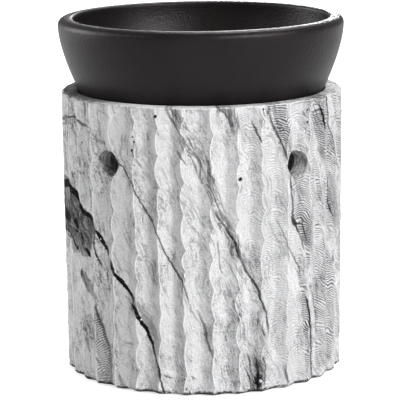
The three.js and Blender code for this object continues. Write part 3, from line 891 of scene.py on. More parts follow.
MARKS = [
    # Main black vein, from the left side down to the foot
    vein((-88, 67.5, 2.6, 1), (-80, 67.8, 2.8, 1), (-74, 68.1, 2.9, 1), (-69, 68.1, 2.8, 1),
         (-66, 67.2, 2.6, 1), (-63, 66.4, 2.6, 1), (-61, 65.2, 2.4, 1), (-59.4, 63.6, 1.8, 0.9),
         level=True),
    vein((-60.5, 64.5, 1.2, 0.8), (-59, 62.9, 1.8, 1), (-57, 61.3, 1.9, 1), (-54, 60.2, 1.9, 1),
         (-51.5, 59.6, 1.8, 1), (-49.8, 58.3, 1.3, 0.9), (-49.2, 57.2, 0.6, 0.3), level=True),
    vein((-50, 57, 0.5, 0.6), (-48.5, 55.4, 1, 0.9), (-46.5, 54.2, 1.9, 1), (-44, 52, 1.8, 1),
         (-42, 50, 1.4, 1), (-41, 48.4, 0.9, 0.9), (-40.6, 47.3, 0.5, 0.1), level=True),
    vein((-40.3, 46.4, 0.6, 0.2), (-39.8, 45, 1, 0.9), (-39, 43, 1.4, 1), (-37.5, 41, 1.6, 1),
         (-35.5, 39.5, 1.6, 1), (-33, 37.5, 1.5, 1), (-31, 35.8, 1.4, 1), (-29.3, 33.5, 1, 0.95),
         (-28.9, 31.6, 0.7, 0.6)),
    vein((-29.2, 31.6, 0.7, 0.5), (-28.8, 30.8, 1.4, 1), (-27.5, 28.5, 1.7, 1), (-26, 26.5, 1.7, 1),
         (-25, 25, 1.5, 1), (-23.5, 23, 1.4, 1), (-22.5, 21, 1.3, 1), (-21.5, 19, 1.2, 1),
         (-20.7, 17, 0.8, 0.95), (-20.1, 14, 0.7, 0.9), (-19, 11.3, 0.7, 0.9), (-18.2, 8, 0.7, 0.95),
         (-17.5, 5, 0.7, 0.95), (-16.2, 0, 0.8, 0.95)),
    # The same vein round the left side, with fainter branches and its smoke
    vein((-150, 96, 0.5, 0.5), (-140, 91, 1.2, 0.9), (-128, 84, 1.8, 1), (-118, 79, 1.5, 1),
         (-108, 73, 2.2, 1), (-98, 69, 2.4, 1), (-87, 67.5, 2.4, 1), level=True),
    vein((-146, 90.5, 0.3, 0.3), (-136, 86, 0.5, 0.7), (-124, 79, 0.6, 0.8), (-112, 71, 0.6, 0.8),
         (-104, 66, 0.5, 0.6), level=True),
    vein((-132, 82, 0.3, 0.3), (-122, 73, 0.4, 0.6), (-113, 65, 0.5, 0.7), (-106, 59, 0.5, 0.6),
         (-98, 52.5, 0.4, 0.5), (-92, 46, 0.3, 0.2), level=True),
    shade((94, -152, -142, 0.2), (88, -146, -130, 0.5), (82, -138, -121, 0.6), (76, -131, -110, 0.65),
          (70, -124, -101, 0.7), (64, -117, -96, 0.7), (58, -110, -90, 0.65), (52, -102, -84, 0.5),
          (45, -96, -82, 0.3), soft=1.0, lines=0.8),
    # Smoky patch below it, with its darkest spots and the fine veins that leave it
    shade((72, -124, -84, 0.45), (68.5, -116, -68, 0.8), (66, -107, -61, 0.87), (64, -109, -59.4, 0.87),
          (62, -101, -56, 0.87), (60, -94, -51.5, 0.9), (57.5, -97, -49, 0.92), (55.5, -89, -48.8, 0.88),
          (52, -84, -49.2, 0.88), (49, -66, -51, 0.86), (47, -62, -52, 0.8), (45, -60, -54, 0.3), soft=0.5),
    shade((52, -70, -68, 0.3), (49.5, -68.5, -64, 0.55), (46.5, -67.5, -61.5, 0.5),
          (44.5, -66, -60.5, 0.15), soft=0.6),
    vein((-97, 61.5, 0.5, 0.5), (-92, 59.5, 1.2, 0.8), (-86, 57.5, 3, 1), (-78, 57, 4.5, 1),
         (-72, 55.5, 3, 0.9), (-69, 54, 1, 0.3), level=True, soft=0.8),
    vein((-66.5, 56.5, 0.8, 0.4), (-64.5, 56, 2, 1), (-62, 55, 2.8, 1), (-60.4, 53.6, 1, 0.5), level=True,
         soft=0.5),
    vein((-66, 54.2, 0.4, 0.4), (-64, 53.2, 0.9, 0.95), (-62, 52.6, 0.8, 0.9), (-60.6, 52.4, 0.4, 0.3),
         level=True),
    vein((-59.6, 53.4, 0.5, 0.4), (-58.2, 51.9, 1.2, 0.95), (-57, 50.4, 0.8, 0.7), (-56, 49, 0.4, 0.3),
         level=True),
    vein((-56, 47.6, 0.5, 0.5), (-54.5, 47.2, 1.5, 1), (-52.6, 46.1, 1.4, 1), (-51.4, 45, 0.5, 0.6),
         level=True),
    vein((-70, 51.8, 0.5, 0.5), (-67.4, 50, 0.8, 0.9), (-64.9, 48.3, 0.9, 0.95), (-62.5, 46.8, 0.9, 0.95),
         (-60.3, 45.2, 0.8, 0.9), (-60, 43.6, 0.4, 0.3), level=True),
    shade((35, -30.5, -28.5, 0.2), (31, -27.6, -24.4, 0.45), (27, -25.6, -21.5, 0.55),
          (23, -22.4, -18.8, 0.5), (18, -20, -17.8, 0.3), (10, -18, -16.5, 0.1), soft=0.8),
    vein((-50.2, 57.4, 0.7, 0.6), (-48.9, 54.5, 0.8, 0.75), (-49.6, 50, 0.9, 0.8), (-48.9, 48, 0.9, 0.85),
         (-47.9, 46.2, 1.1, 0.95), (-46, 44.2, 0.8, 0.9), (-44.3, 42.4, 0.4, 0.4), soft=0.3),
    # Second patch and the broad grey vein that runs from it to the foot
    shade((40.5, -59, -58, 0.3), (38.5, -59.4, -55.5, 0.75), (36, -57.8, -52, 0.75),
          (33.5, -55.4, -50.3, 0.75), (31, -51.8, -50, 0.6), soft=0.4, lines=0.35),
    vein((-59.2, 40.2, 0.5, 0.5), (-59.2, 38.5, 0.9, 0.95), (-58.6, 36.8, 0.5, 0.4)),
    shade((31.5, -51, -50, 0.5), (28, -50.5, -48.6, 0.95), (24, -50, -46.6, 0.95), (20, -49.5, -44, 0.9),
          (14, -49.5, -41.2, 0.85), (8, -49, -40.6, 0.75), (0, -48.5, -40.2, 0.6), soft=0.7, ripple=1.0),
    vein((-49.8, 28, 0.8, 0.7), (-48.2, 26, 1.1, 0.85), (-46.4, 23, 1.3, 0.8), (-44.5, 20, 1.3, 0.7),
         (-42.6, 16, 1.2, 0.6), (-41.4, 13.5, 1, 0.55), (-40.9, 8, 0.9, 0.5), (-40.6, 0, 0.8, 0.4),
         soft=0.5),
    vein((-69, 10.5, 0.4, 0.4), (-64, 9.5, 0.6, 0.5), (-62, 8, 0.5, 0.5), (-61, 6.3, 0.3, 0.2), level=True),
    # Long thin vein from the left vent to the middle
    vein((-38.4, 81.6, 0.5, 0.5), (-35, 80, 0.6, 0.8), (-33, 78.8, 0.6, 0.8), (-31, 77, 0.6, 0.75),
         (-30.2, 75.5, 0.5, 0.7), (-29.2, 73.5, 0.5, 0.7)),
    vein((-30, 75.5, 0.5, 0.6), (-28, 71.5, 0.6, 0.8), (-26, 68.5, 0.65, 0.85), (-22, 63.8, 0.7, 0.85),
         (-19.8, 60, 0.6, 0.8), (-18.5, 57, 0.6, 0.8), (-16.3, 52.5, 0.6, 0.85), (-14, 48.5, 0.6, 0.85),
         (-11, 44.7, 0.7, 0.85), (-8.5, 40.8, 0.7, 0.8), (-7, 37.5, 0.6, 0.55), (-5.5, 32.5, 0.6, 0.5),
         (-3, 27.5, 0.6, 0.4), (-1.2, 24, 0.4, 0.2)),
    vein((-9.4, 44.3, 0.3, 0.3), (-7.5, 41.5, 0.5, 0.7), (-7.7, 39.8, 0.3, 0.3)),
    vein((-9.8, 39.6, 0.3, 0.3), (-9.3, 36, 0.4, 0.5), (-8.5, 33.5, 0.4, 0.5), (-7.5, 31, 0.3, 0.2)),
    vein((-2.6, 31, 0.5, 0.3), (-1.5, 28, 0.8, 0.6), (-0.7, 26, 1, 0.7), (0.3, 23.5, 1, 0.75),
         (1.5, 20, 0.8, 0.8), (2.4, 17.5, 0.7, 0.8), (3.2, 15.5, 0.6, 0.8), (3.8, 13.8, 0.4, 0.3),
         soft=0.35),
    shade((26, 0, 2, 0.1), (23.5, -0.5, 4, 0.5), (21, 0.5, 4, 0.4), (18, 1, 3.2, 0.3), (15, 2, 4, 0.1)),
    # Veins of the left shoulder
    vein((-88, 90.2, 1, 0.7), (-80, 91, 1, 0.75), (-72, 92.4, 0.9, 0.75), (-66, 93.2, 0.8, 0.8),
         (-62, 93.2, 0.9, 0.8), (-59, 92.5, 1, 0.8), (-55, 91.6, 1, 0.75), (-51, 90.9, 0.6, 0.4),
         (-49.5, 89.6, 0.4, 0.2), level=True, soft=0.3),
    vein((-88, 88, 0.8, 0.6), (-80, 89, 1, 0.6), (-75, 89.6, 0.9, 0.6), (-69, 90.3, 0.6, 0.4), level=True,
         soft=0.5),
    vein((-78, 90.8, 2.4, 0.4), (-70, 91.3, 2, 0.4), (-67, 91.5, 1, 0.1), level=True, soft=0.6),
    vein((-50.5, 89.8, 0.4, 0.3), (-47, 88, 0.9, 0.4), (-42, 86, 0.7, 0.35), (-41, 85.4, 0.3, 0.1),
         level=True),
    vein((-45.5, 97.4, 0.5, 0.2), (-40, 96, 0.5, 0.3), (-39, 95.5, 0.3, 0.1), level=True),
    # Bundle that starts at the top, left of the middle
    vein((-14.5, 100.4, 0.8, 0.5), (-13, 98, 0.8, 0.6), (-11.5, 96.3, 0.9, 0.65), (-10.5, 94.5, 0.9, 0.65),
         (-9.7, 93, 0.7, 0.6), (-8.5, 91.2, 0.5, 0.5), (-7.2, 89.5, 0.4, 0.2), soft=0.3),
    vein((-12.5, 100.4, 0.6, 0.45), (-11, 98.5, 0.7, 0.55), (-10, 97, 0.6, 0.5), (-9, 95.2, 0.4, 0.2),
         soft=0.3),
    vein((-14.3, 99.7, 0.3, 0.5), (-11.2, 96, 0.3, 0.5), (-8.9, 92, 0.3, 0.5), (-6.6, 87.9, 0.3, 0.5),
         (-3.8, 82, 0.3, 0.45), (-1, 76.3, 0.3, 0.5), (2.8, 69.4, 0.3, 0.5), (4.3, 63.9, 0.3, 0.5),
         (7.4, 56.9, 0.3, 0.35)),
    vein((-10.4, 99.7, 0.25, 0.35), (-6.5, 94.7, 0.25, 0.35), (-0.8, 88.6, 0.25, 0.4), (1.5, 83, 0.25, 0.4),
         (3.7, 77.6, 0.25, 0.4), (6.4, 70.5, 0.25, 0.4), (9, 63.7, 0.25, 0.4), (11.3, 58.5, 0.25, 0.3)),
    vein((-5.3, 90.5, 0.4, 0.4), (-2.4, 84.5, 0.5, 0.55), (0.4, 79, 0.5, 0.55), (2.2, 75.5, 0.3, 0.5),
         (4.4, 70, 0.3, 0.5), (6.2, 65.5, 0.4, 0.5), (8.5, 60, 0.3, 0.3)),
    vein((-9, 90.6, 0.4, 0.3), (-8.5, 88, 0.5, 0.6), (-7.5, 86, 0.5, 0.6), (-6.7, 84.6, 0.4, 0.3)),
    vein((-10, 86, 0.4, 0.3), (-8.8, 84, 0.6, 0.7), (-7.5, 82.5, 0.6, 0.7), (-6, 80.7, 0.4, 0.3)),
    vein((-2.4, 85.3, 0.4, 0.3), (-1, 83.3, 0.5, 0.6), (0, 82.3, 0.5, 0.6), (1.2, 80.7, 0.4, 0.3)),
    shade((100.4, -14.5, -10.4, 0.6), (96, -11.4, -7.3, 0.6), (92, -9.2, -4, 0.6), (88, -7, -0.8, 0.6),
          (83, -4.6, 1.6, 0.65), (77, -1.5, 4, 0.7), (70, 2.4, 6.8, 0.75), (64, 4.4, 9, 0.7),
          (57, 7.4, 12.6, 0.75), (52, 9.6, 15, 0.75), (47, 12.3, 17.5, 0.65), (42, 14.5, 20.5, 0.5),
          (36, 18, 24, 0.5), (30, 19.5, 26, 0.45), (22, 19, 26.5, 0.4), (14, 17, 26, 0.35),
          (4, 16.5, 26, 0.3), soft=0.8, lines=0.85),
    vein((2, 79, 0.4, 0.3), (3.1, 77.5, 0.6, 0.75), (4.4, 75.6, 0.6, 0.6), (5, 74.4, 0.4, 0.2)),
    vein((5, 64.3, 0.4, 0.3), (7, 61.5, 0.7, 0.7), (8, 60.3, 0.7, 0.75), (9.5, 58, 0.8, 0.8),
         (11, 55.8, 0.9, 0.9), (12.3, 54, 0.9, 0.9), (13.3, 51.5, 0.9, 0.9), (14.3, 49.5, 0.8, 0.85),
         (15, 47.5, 0.7, 0.75), (17, 43.5, 0.7, 0.75), (18.5, 41.5, 0.7, 0.8), (20, 39.5, 0.9, 0.9),
         (21.5, 37.5, 0.9, 0.9), (22.5, 35.5, 0.9, 0.9), (23.3, 33, 0.8, 0.9), (24.8, 29, 0.7, 0.8),
         (25.8, 25, 0.6, 0.75), (26.3, 21.5, 0.5, 0.6), (26, 19.5, 0.3, 0.2)),
    vein((12.8, 56.2, 0.4, 0.3), (13.6, 54.5, 0.5, 0.7), (14.5, 50, 0.5, 0.6), (15.4, 47, 0.3, 0.2)),
    vein((22.8, 24.6, 0.3, 0.3), (24, 22, 0.6, 0.8), (24.7, 19.6, 0.3, 0.3)),
    vein((7.5, 49.3, 0.4, 0.2), (10, 46, 0.5, 0.45), (12, 43, 0.5, 0.45), (13.5, 40, 0.4, 0.2)),
    vein((11.6, 34, 0.4, 0.3), (13.5, 27, 0.5, 0.5), (14.3, 24, 0.4, 0.3)),
    # Short veins of the upper middle
    vein((5.8, 100.4, 0.6, 0.6), (8, 98.8, 0.6, 0.65), (9.5, 97.7, 0.6, 0.65), (10.9, 96.1, 0.4, 0.3),
         level=True),
    shade((100.4, 5.5, 12.5, 0.6), (97, 8.5, 13.6, 0.8), (94.5, 10.8, 14.4, 0.7), (91, 12.6, 15, 0.3),
          soft=0.5, lines=0.5),
    shade((98, 13, 19, 0.2), (94, 14.5, 22, 0.45), (90, 15.5, 23.5, 0.45), (86, 16.5, 25, 0.4),
          (80, 18.5, 26.5, 0.35), (74, 20, 27, 0.4), (66, 21, 32, 0.4), (58, 22, 34, 0.4),
          (50, 25, 34, 0.1), soft=1.0, ripple=1.0),
    vein((19.6, 95.3, 0.4, 0.3), (21, 93, 0.8, 0.8), (22, 91, 0.9, 0.85), (23, 89.5, 0.8, 0.85),
         (24, 87.6, 0.4, 0.3)),
    # Vein past the right vent
    vein((26.6, 100.4, 0.5, 0.5), (27.2, 97, 0.6, 0.7), (28.3, 94, 0.8, 0.75), (30, 91.5, 0.9, 0.8),
         (31.5, 89, 0.9, 0.8), (32.5, 87, 0.9, 0.85), (33.7, 85, 0.9, 0.85), (34.8, 83, 0.8, 0.8),
         (35.7, 80.3, 0.5, 0.5)),
    shade((100.4, 26.5, 35, 0.85), (96, 28, 36.5, 0.9), (92, 30, 36.8, 0.95), (88, 32.2, 37.2, 0.95),
          (84, 34.8, 38, 0.85), (81, 35.8, 37.4, 0.3), soft=0.5, ripple=1.0),
    vein((37.1, 75.5, 0.5, 0.5), (37.3, 72, 0.7, 0.7), (38.1, 66, 0.8, 0.75), (38.3, 62, 0.9, 0.8),
         (38.8, 59, 1.2, 0.95), (39.7, 57, 1.2, 0.95), (40.5, 55.5, 1, 0.9), (41.5, 54, 0.8, 0.75),
         (43, 51, 0.7, 0.6), (44.2, 48, 0.4, 0.2)),
    vein((42.2, 60.8, 0.4, 0.3), (43.5, 57.5, 0.8, 0.7), (45, 53.5, 0.8, 0.7), (46.3, 50.5, 0.5, 0.2)),
    shade((75, 37.5, 44, 0.7), (70, 37.8, 46.5, 0.7), (65, 38, 48.5, 0.75), (60, 39, 49.5, 0.9),
          (56, 40.5, 49.8, 0.95), (52, 43, 49.8, 0.95), (48, 45, 49.5, 0.9), (44, 46, 48.5, 0.7),
          (41, 46.5, 48, 0.1), soft=0.5, ripple=1.0),
    shade((60, 43, 48, 0.2), (56, 42, 49, 0.45), (51, 43.5, 49.5, 0.5), (46, 45.5, 49, 0.2), soft=0.8,
          lines=0.7),
    vein((30, 60.5, 0.3, 0.3), (32, 58, 0.5, 0.5), (34.5, 54, 0.6, 0.55), (36.5, 50, 0.6, 0.55),
         (38.5, 47, 0.6, 0.6), (40.5, 43.5, 0.7, 0.65), (42.2, 39.6, 0.5, 0.3)),
    shade((40, 40.5, 43.5, 0.4), (37, 41.5, 45, 0.75), (33, 42, 45.8, 0.8), (29, 43, 47, 0.85),
          (24, 43.2, 48.3, 0.95), (18, 43.5, 49, 0.9), (12, 44.5, 49, 0.8), (5, 45, 49.2, 0.7),
          (0, 45.4, 49.4, 0.7), soft=0.6, ripple=1.0),
    vein((45, 31.5, 0.6, 0.5), (46, 29.8, 0.9, 0.9), (46.8, 28, 1, 0.9), (47.3, 25, 1, 0.9),
         (48, 21, 0.9, 0.9), (48.3, 16, 0.8, 0.8), (48.3, 10, 0.8, 0.8), (48.6, 5, 0.7, 0.75),
         (49.2, 0, 0.7, 0.7)),
    vein((47.8, 36.5, 0.4, 0.3), (49, 32, 0.6, 0.5), (51, 27, 0.6, 0.5), (51.6, 20, 0.5, 0.4),
         (51.5, 14, 0.3, 0.2)),
    shade((50, 49, 58, 0.3), (44, 49, 62, 0.6), (39, 49.5, 66, 0.75), (30, 50, 68, 0.8),
          (20, 50.5, 68, 0.75), (8, 50.5, 66, 0.6), (3, 51, 62, 0.3), soft=1.5, ripple=1.0),
    # Double vein of the right shoulder
    vein((53, 103, 0.5, 0.8), (53.4, 100.5, 0.5, 0.8), (54.4, 97.8, 0.6, 0.7), (55, 96.8, 1, 0.95),
         (56, 95, 1.2, 1), (57.3, 93, 1.2, 1), (58, 91.3, 1.1, 1), (59.2, 88.8, 0.5, 0.4)),
    vein((59.6, 103, 0.9, 0.9), (60.2, 100.1, 0.9, 0.9), (60.4, 97.5, 0.9, 0.95), (61.7, 93.1, 0.8, 0.85),
         (61.9, 88.9, 0.8, 0.85), (65.9, 85.2, 0.7, 0.8), (69, 79.8, 0.7, 0.7), (70.3, 75.4, 0.6, 0.6),
         (71.5, 68, 0.5, 0.3)),
    vein((38, 99.6, 0.2, 0.3), (42, 99.7, 0.3, 0.7), (50, 99.9, 0.35, 0.85), (60.3, 100, 0.4, 0.85),
         level=True),
    vein((44, 100.8, 0.2, 0.3), (50, 100.8, 0.3, 0.8), (60, 100.8, 0.3, 0.85), (64, 100.7, 0.2, 0.3),
         level=True),
    vein((62.5, 91.8, 0.2, 0.3), (66, 92.1, 0.3, 0.6), (69, 92, 0.3, 0.5), (72, 92.3, 0.2, 0.2),
         level=True),
    vein((64, 75.6, 0.2, 0.3), (67, 75.4, 0.3, 0.55), (72, 75.6, 0.3, 0.5), (78, 75.4, 0.2, 0.3),
         level=True),
    shade((99.4, 49.5, 60.5, 0.3), (94.6, 49.6, 61.5, 0.85), (88.9, 50.6, 61.9, 0.9), (85, 53, 65.5, 0.9),
          (80, 56, 69, 0.8), (75, 58.5, 70.3, 0.7), (66, 60, 71, 0.65), (56, 60, 70, 0.55),
          (48, 60, 68, 0.3), soft=0.8, ripple=1.0),
    shade((96, 49.5, 55, 0.2), (92, 50.5, 57, 0.4), (87, 53, 58, 0.35), (83, 55, 58, 0.1), soft=0.8,
          lines=0.7),
    shade((84, 52.5, 56, 0.2), (81.5, 53.5, 58, 0.6), (79.5, 55, 59, 0.5), (77.5, 56.5, 59.5, 0.1),
          soft=0.8),
    vein((60.3, 71.6, 0.4, 0.4), (60.9, 68.8, 0.8, 0.8), (61.1, 66.5, 0.5, 0.5), (61.3, 63, 0.9, 0.85),
         (62.2, 61, 1, 0.9), (64, 58.8, 0.9, 0.9), (66.8, 56.5, 0.8, 0.6)),
    shade((73, 60.5, 64, 0.2), (68, 61, 70, 0.5), (62, 62, 74, 0.5), (56, 66, 78, 0.45), (50, 70, 82, 0.2)),
    # Dark spot at the foot
    shade((18, 17.5, 24, 0.1), (14, 18.2, 24.4, 0.35), (12, 18.8, 24.6, 0.75), (8.6, 19.3, 24.8, 0.8),
          (7.2, 19.5, 24.4, 0.8), (3.5, 19.8, 24, 0.8), (1, 20.4, 23.2, 0.7), soft=0.5, lines=0.35),
    shade((7.6, 20.6, 22.5, 0.6), (6, 19.8, 24, 1), (3, 19.8, 23.8, 1), (0.6, 20.6, 23, 1), soft=0.4),
    vein((17.2, 15, 0.4, 0.4), (18.2, 11, 0.6, 0.8), (18.8, 7, 0.5, 0.7), (19.4, 1, 0.5, 0.6)),
    vein((20.4, 13, 0.5, 0.6), (21.2, 9, 0.9, 0.9), (21.6, 4, 1.1, 1), (21.4, 0.5, 0.6, 0.7)),
    vein((23.6, 13.5, 0.3, 0.3), (24.6, 10, 0.5, 0.7), (24.6, 5, 0.5, 0.6), (25, 0.5, 0.3, 0.3)),
    vein((16, 10.5, 0.4, 0.3), (17.5, 7, 0.7, 0.8), (18.5, 3, 0.6, 0.8), (19, 0.5, 0.4, 0.5)),
    vein((34, 7.6, 0.4, 0.3), (34.8, 5, 0.8, 0.8), (35.7, 2, 0.5, 0.5)),
    vein((-16.3, 7.7, 0.3, 0.4), (-14.5, 6.8, 0.6, 0.7), (-12.3, 5.9, 0.3, 0.4), level=True),
    vein((-5.7, 7.3, 0.3, 0.4), (-4.5, 6.9, 0.5, 0.6), (-2.8, 6.2, 0.3, 0.3), level=True),
]

# Each with its angle, height and radius
PINHOLES = (
    (-28.2, 89.8, 0.45), (-27.6, 88.2, 0.5), (-28.7, 85.2, 0.65), (-56.5, 85.2, 0.45), (-18.4, 97.3, 0.8),
    (14.8, 75.6, 0.95), (46.4, 97, 0.5), (46.5, 92.7, 0.6), (45.2, 90.4, 0.4), (24.6, 99, 0.5),
    (-15.6, 45.8, 0.4), (-9, 7.5, 0.35), (-8, 6.4, 0.3), (-7.3, 2.8, 0.4),
)
# Small pale spots with ragged edges, some of them painted glints on the main vein
PALE_SPOTS_AND_GLINTS = ((22.8, 4.6, 0.75), (-45.3, 52.6, 0.45), (-25.6, 26.4, 0.5), (-47.7, 45.6, 0.4))

# Grey of the random tone, and of the painted shade in the flutes, on the left side and on the rim's top
TONE_AND_SHADE_GREY = (0.14, 0.14, 0.147)
# Painted shade and painted highlight at the ridges
CREST_SHADE_GREY = (0.1, 0.1, 0.106)
CREST_HIGHLIGHT_WHITE = (0.82, 0.82, 0.83)
# Painted light along the rim's top edge
RIM_LIGHT_WHITE = (0.93, 0.93, 0.94)
# Pale flecks and painted glints
FLECK_AND_GLINT_WHITE = (0.75, 0.75, 0.75)
# Clay inside the wall, whose darker grey is also painted shade in the bores and chamber
CLAY_DARK = (0.42, 0.415, 0.41)
CLAY_PALE = (0.62, 0.615, 0.61)
CLAY_GRAIN = (0.1, 0.098, 0.097)
# Painted shade along the foot's edge, with its chipping
FOOT_SHADE_DARK = (0.025, 0.025, 0.027)
# Painted shade inside the pinholes
PINHOLE_SHADE = (0.012, 0.011, 0.011)


def mark_curves(mark):
    """The rows of a mark as (along, centre, half width, darkness), the last three as shares."""
    rows = []
    flat = [(angle * DEGREE, height) for angle, height, _, _ in mark.points]
    for i, (angle, height, width, dark) in enumerate(mark.points):
        before, after = flat[max(i - 1, 0)], flat[min(i + 1, len(flat) - 1)]
        run, rise = abs(after[0] - before[0]), abs(after[1] - before[1])
        if mark.smoky:
            lean = 1
        else:
            lean = math.hypot(run, rise) / max(run if mark.level else rise, 0.01)
        half = width / 2 * min(lean, LONGEST_LEAN) / WIDEST_MARK
        along, centre = (angle, height / HIGHEST_MARK) if mark.level else (height, angle / 360 + 0.5)
        rows.append((along, centre, half, dark))
    return sorted(rows)


class Marbling(Recipe):
    """The body's marbled ceramic. Its steps run in order, and each keeps the patterns that later ones use."""

    def find_place(self):
        """Each point's angle and height on the wall."""
        axes = self.add("ShaderNodeSeparateXYZ")
        self.join(self.place, axes.inputs[0])
        x, y, self.z = axes.outputs
        turn = self.maths("ARCTAN2", x, self.times(y, -1.0))
        # Marks stay where they show from the front on a smooth wall, so they slip sideways in the flutes
        radius = self.maths("SQRT", self.times_plus(x, x, self.times(y, y)))
        depth = self.most(self.minus(SMOOTH_RADIUS * MM, radius), 0.0)
        slant = self.maths("MINIMUM", self.most(self.maths("TANGENT", turn), -STEEPEST_SLANT), STEEPEST_SLANT)
        front = self.ramp(self.maths("ABSOLUTE", turn), math.radians(88), math.radians(76))
        top = BODY_HIGH.z * MM
        self.rim_top = self.ramp(self.z, top - 0.0005, top - 0.0001)
        on_wall = self.times(front, self.minus(1.0, self.rim_top))
        slip = self.times(depth, slant, on_wall)
        seen_turn = self.times_plus(slip, -1 / (SMOOTH_RADIUS * MM), turn)
        self.angle = self.times(seen_turn, 180 / math.pi)
        self.height = self.times(self.z, 1 / MM)

    def make_patterns(self):
        """The noise patterns, some of them drawn out along the marble's flow."""
        self.wander = self.noise(self.place, 240, 4, 0.65)
        self.wavy_angle = self.shift(self.angle, self.wander, 2.6)
        sway = self.noise(self.stretch(self.place, 1, 1, -1.3), 310, 4, 0.65)
        self.wavy_height = self.shift(self.height, sway, 2.2)
        # The marble flows down to the right. Turning that back makes its flow upright, to be drawn out
        drift = self.times(self.noise(self.place, 45, 2, 0.5), 0.35)
        turn_back = self.times_plus(self.z, math.tan(math.radians(FLOW_LEAN)) / (BODY_RADIUS * MM), drift)
        upright = self.add("ShaderNodeVectorRotate", rotation_type="Z_AXIS")
        self.join(self.place, upright.inputs["Vector"])
        self.join(turn_back, upright.inputs["Angle"])
        self.flow = self.stretch(upright.outputs[0], 1, 1, 0.12)
        self.strands = self.noise(self.flow, 820, 4, 0.68, 0.25)
        self.bands = self.noise(self.flow, 170, 3, 0.55, 0.4)
        self.threads = self.noise(self.stretch(upright.outputs[0], 1, 1, 0.05), 1400, 2, 0.6)
        self.cloud = self.noise(self.stretch(self.place, 1, 1, 0.6), 120, 5, 0.65, 0.4)
        self.grain = self.noise(self.stretch(self.place, 1, 1, 0.22), 1000, 3, 0.7)
        self.speck = self.noise(self.place, 1500, 3, 0.7)

    def make_ripples(self):
        """The gouge's fine chatter marks, which arch across each flute."""
        bend = self.times(self.noise(self.place, 150, 1.5, 0.45), 48.0)
        bend = self.times_plus(self.attribute(ARCHED), -2 * math.pi * RIPPLE_RISE / RIPPLE_PITCH, bend)
        self.wave = self.maths("SINE", self.times_plus(self.height, 2 * math.pi / RIPPLE_PITCH, bend))
        self.ripples = self.ramp(self.wave, -0.5, 0.7)

    def look_up(self, rows, share_along):
        """Centre, half width and darkness of a mark at a share of the way along it."""
        # Three channels carry them. A number joined straight to a colour would be turned into one only
        # after all marks are drawn, which takes memory
        thrice = self.add("ShaderNodeCombineColor")
        for socket in thrice.inputs:
            self.join(share_along, socket)
        curves = self.add("ShaderNodeRGBCurve")
        self.join(thrice.outputs[0], curves.inputs["Color"])
        start, end = rows[0][0], rows[-1][0]
        for channel in range(3):
            points = curves.mapping.curves[channel].points
            for i, row in enumerate(rows):
                place = ((row[0] - start) / (end - start), row[channel + 1])
                if i == 0:
                    points[0].location = place
                elif i == len(rows) - 1:
                    points[-1].location = place
                else:
                    points.new(*place)
        curves.mapping.update()
        parts = self.add("ShaderNodeSeparateColor")
        self.join(curves.outputs["Color"], parts.inputs[0])
        return parts.outputs

    def draw(self, mark, angle):
        """Darkness of one mark of the marbling."""
        rows = mark_curves(mark)
        along, across = (angle, self.wavy_height) if mark.level else (self.wavy_height, angle)
        share_along = self.ramp(along, rows[0][0], rows[-1][0], smooth=False)
        centre, half, dark = self.look_up(rows, share_along)
        if mark.level:
            offset = self.times_plus(centre, -HIGHEST_MARK, across)
        else:
            centre_angle = self.times_plus(centre, 360.0, -180.0)
            offset = self.times(self.minus(across, centre_angle), DEGREE)
        outside = self.times_plus(half, -WIDEST_MARK, self.maths("ABSOLUTE", offset))
        inside = self.ramp(outside, mark.soft, -mark.soft)
        within_its_length = self.maths("COMPARE", share_along, 0.5, 0.4999)
        strength = self.times(inside, dark, within_its_length)
        if mark.ripple:
            broken = self.ramp(self.ripples, 0, 1, 1 - mark.ripple, 1, smooth=False)
            strength = self.times(strength, broken)
        if mark.lines:
            strength = self.times(strength, self.ramp(self.threads, 0.42, 0.54, 1 - mark.lines, 1))
        return strength

    def draw_marks(self):
        """The veins, which are crisp, and the smoke, which frays along the flow."""
        frayed = self.shift(self.wavy_angle, self.strands, 7.0)
        veins, smoke = 0.0, 0.0
        for mark in MARKS:
            if mark.smoky:
                smoke = self.most(self.draw(mark, frayed), smoke)
            else:
                veins = self.most(self.draw(mark, self.wavy_angle), veins)
        ragged_angle = self.shift(self.angle, self.speck, 1.2)
        ragged_height = self.shift(self.height, self.grain, 1.2)
        self.ragged_place = self.vector(self.times(ragged_angle, DEGREE), ragged_height, 0.0)
        return veins, smoke

    def spots(self, places):
        """Round spots with ragged edges."""
        found = 0.0
        for angle, height, radius in places:
            away = self.add("ShaderNodeVectorMath", operation="DISTANCE")
            self.join(self.ragged_place, away.inputs[0])
            self.join((angle * DEGREE, height, 0), away.inputs[1])
            found = self.most(self.ramp(away.outputs["Value"], radius, radius * 0.4), found)
        return found

    def add_rear(self, veins, smoke):
        """Adds veins and smoke at the back, where the placed marks end."""
        behind = self.ramp(self.maths("ABSOLUTE", self.angle), 86, 96)
        field = self.noise(self.flow, 58, 4, 0.55, 0.2)
        rear_vein = self.ramp(self.maths("ABSOLUTE", self.minus(field, 0.5)), 0.013, 0.003)
        rear_vein = self.times(rear_vein, self.ramp(self.cloud, 0.36, 0.6, 0.15, 1.0))
        rear_smoke = self.times(self.ramp(field, 0.44, 0.49), self.ramp(field, 0.51, 0.495))
        rear_smoke = self.times(rear_smoke, self.ramp(self.bands, 0.4, 0.6, 0.0, 0.6))
        veins = self.most(veins, self.times(rear_vein, behind))
        smoke = self.most(smoke, self.times(rear_smoke, behind))
        return veins, smoke

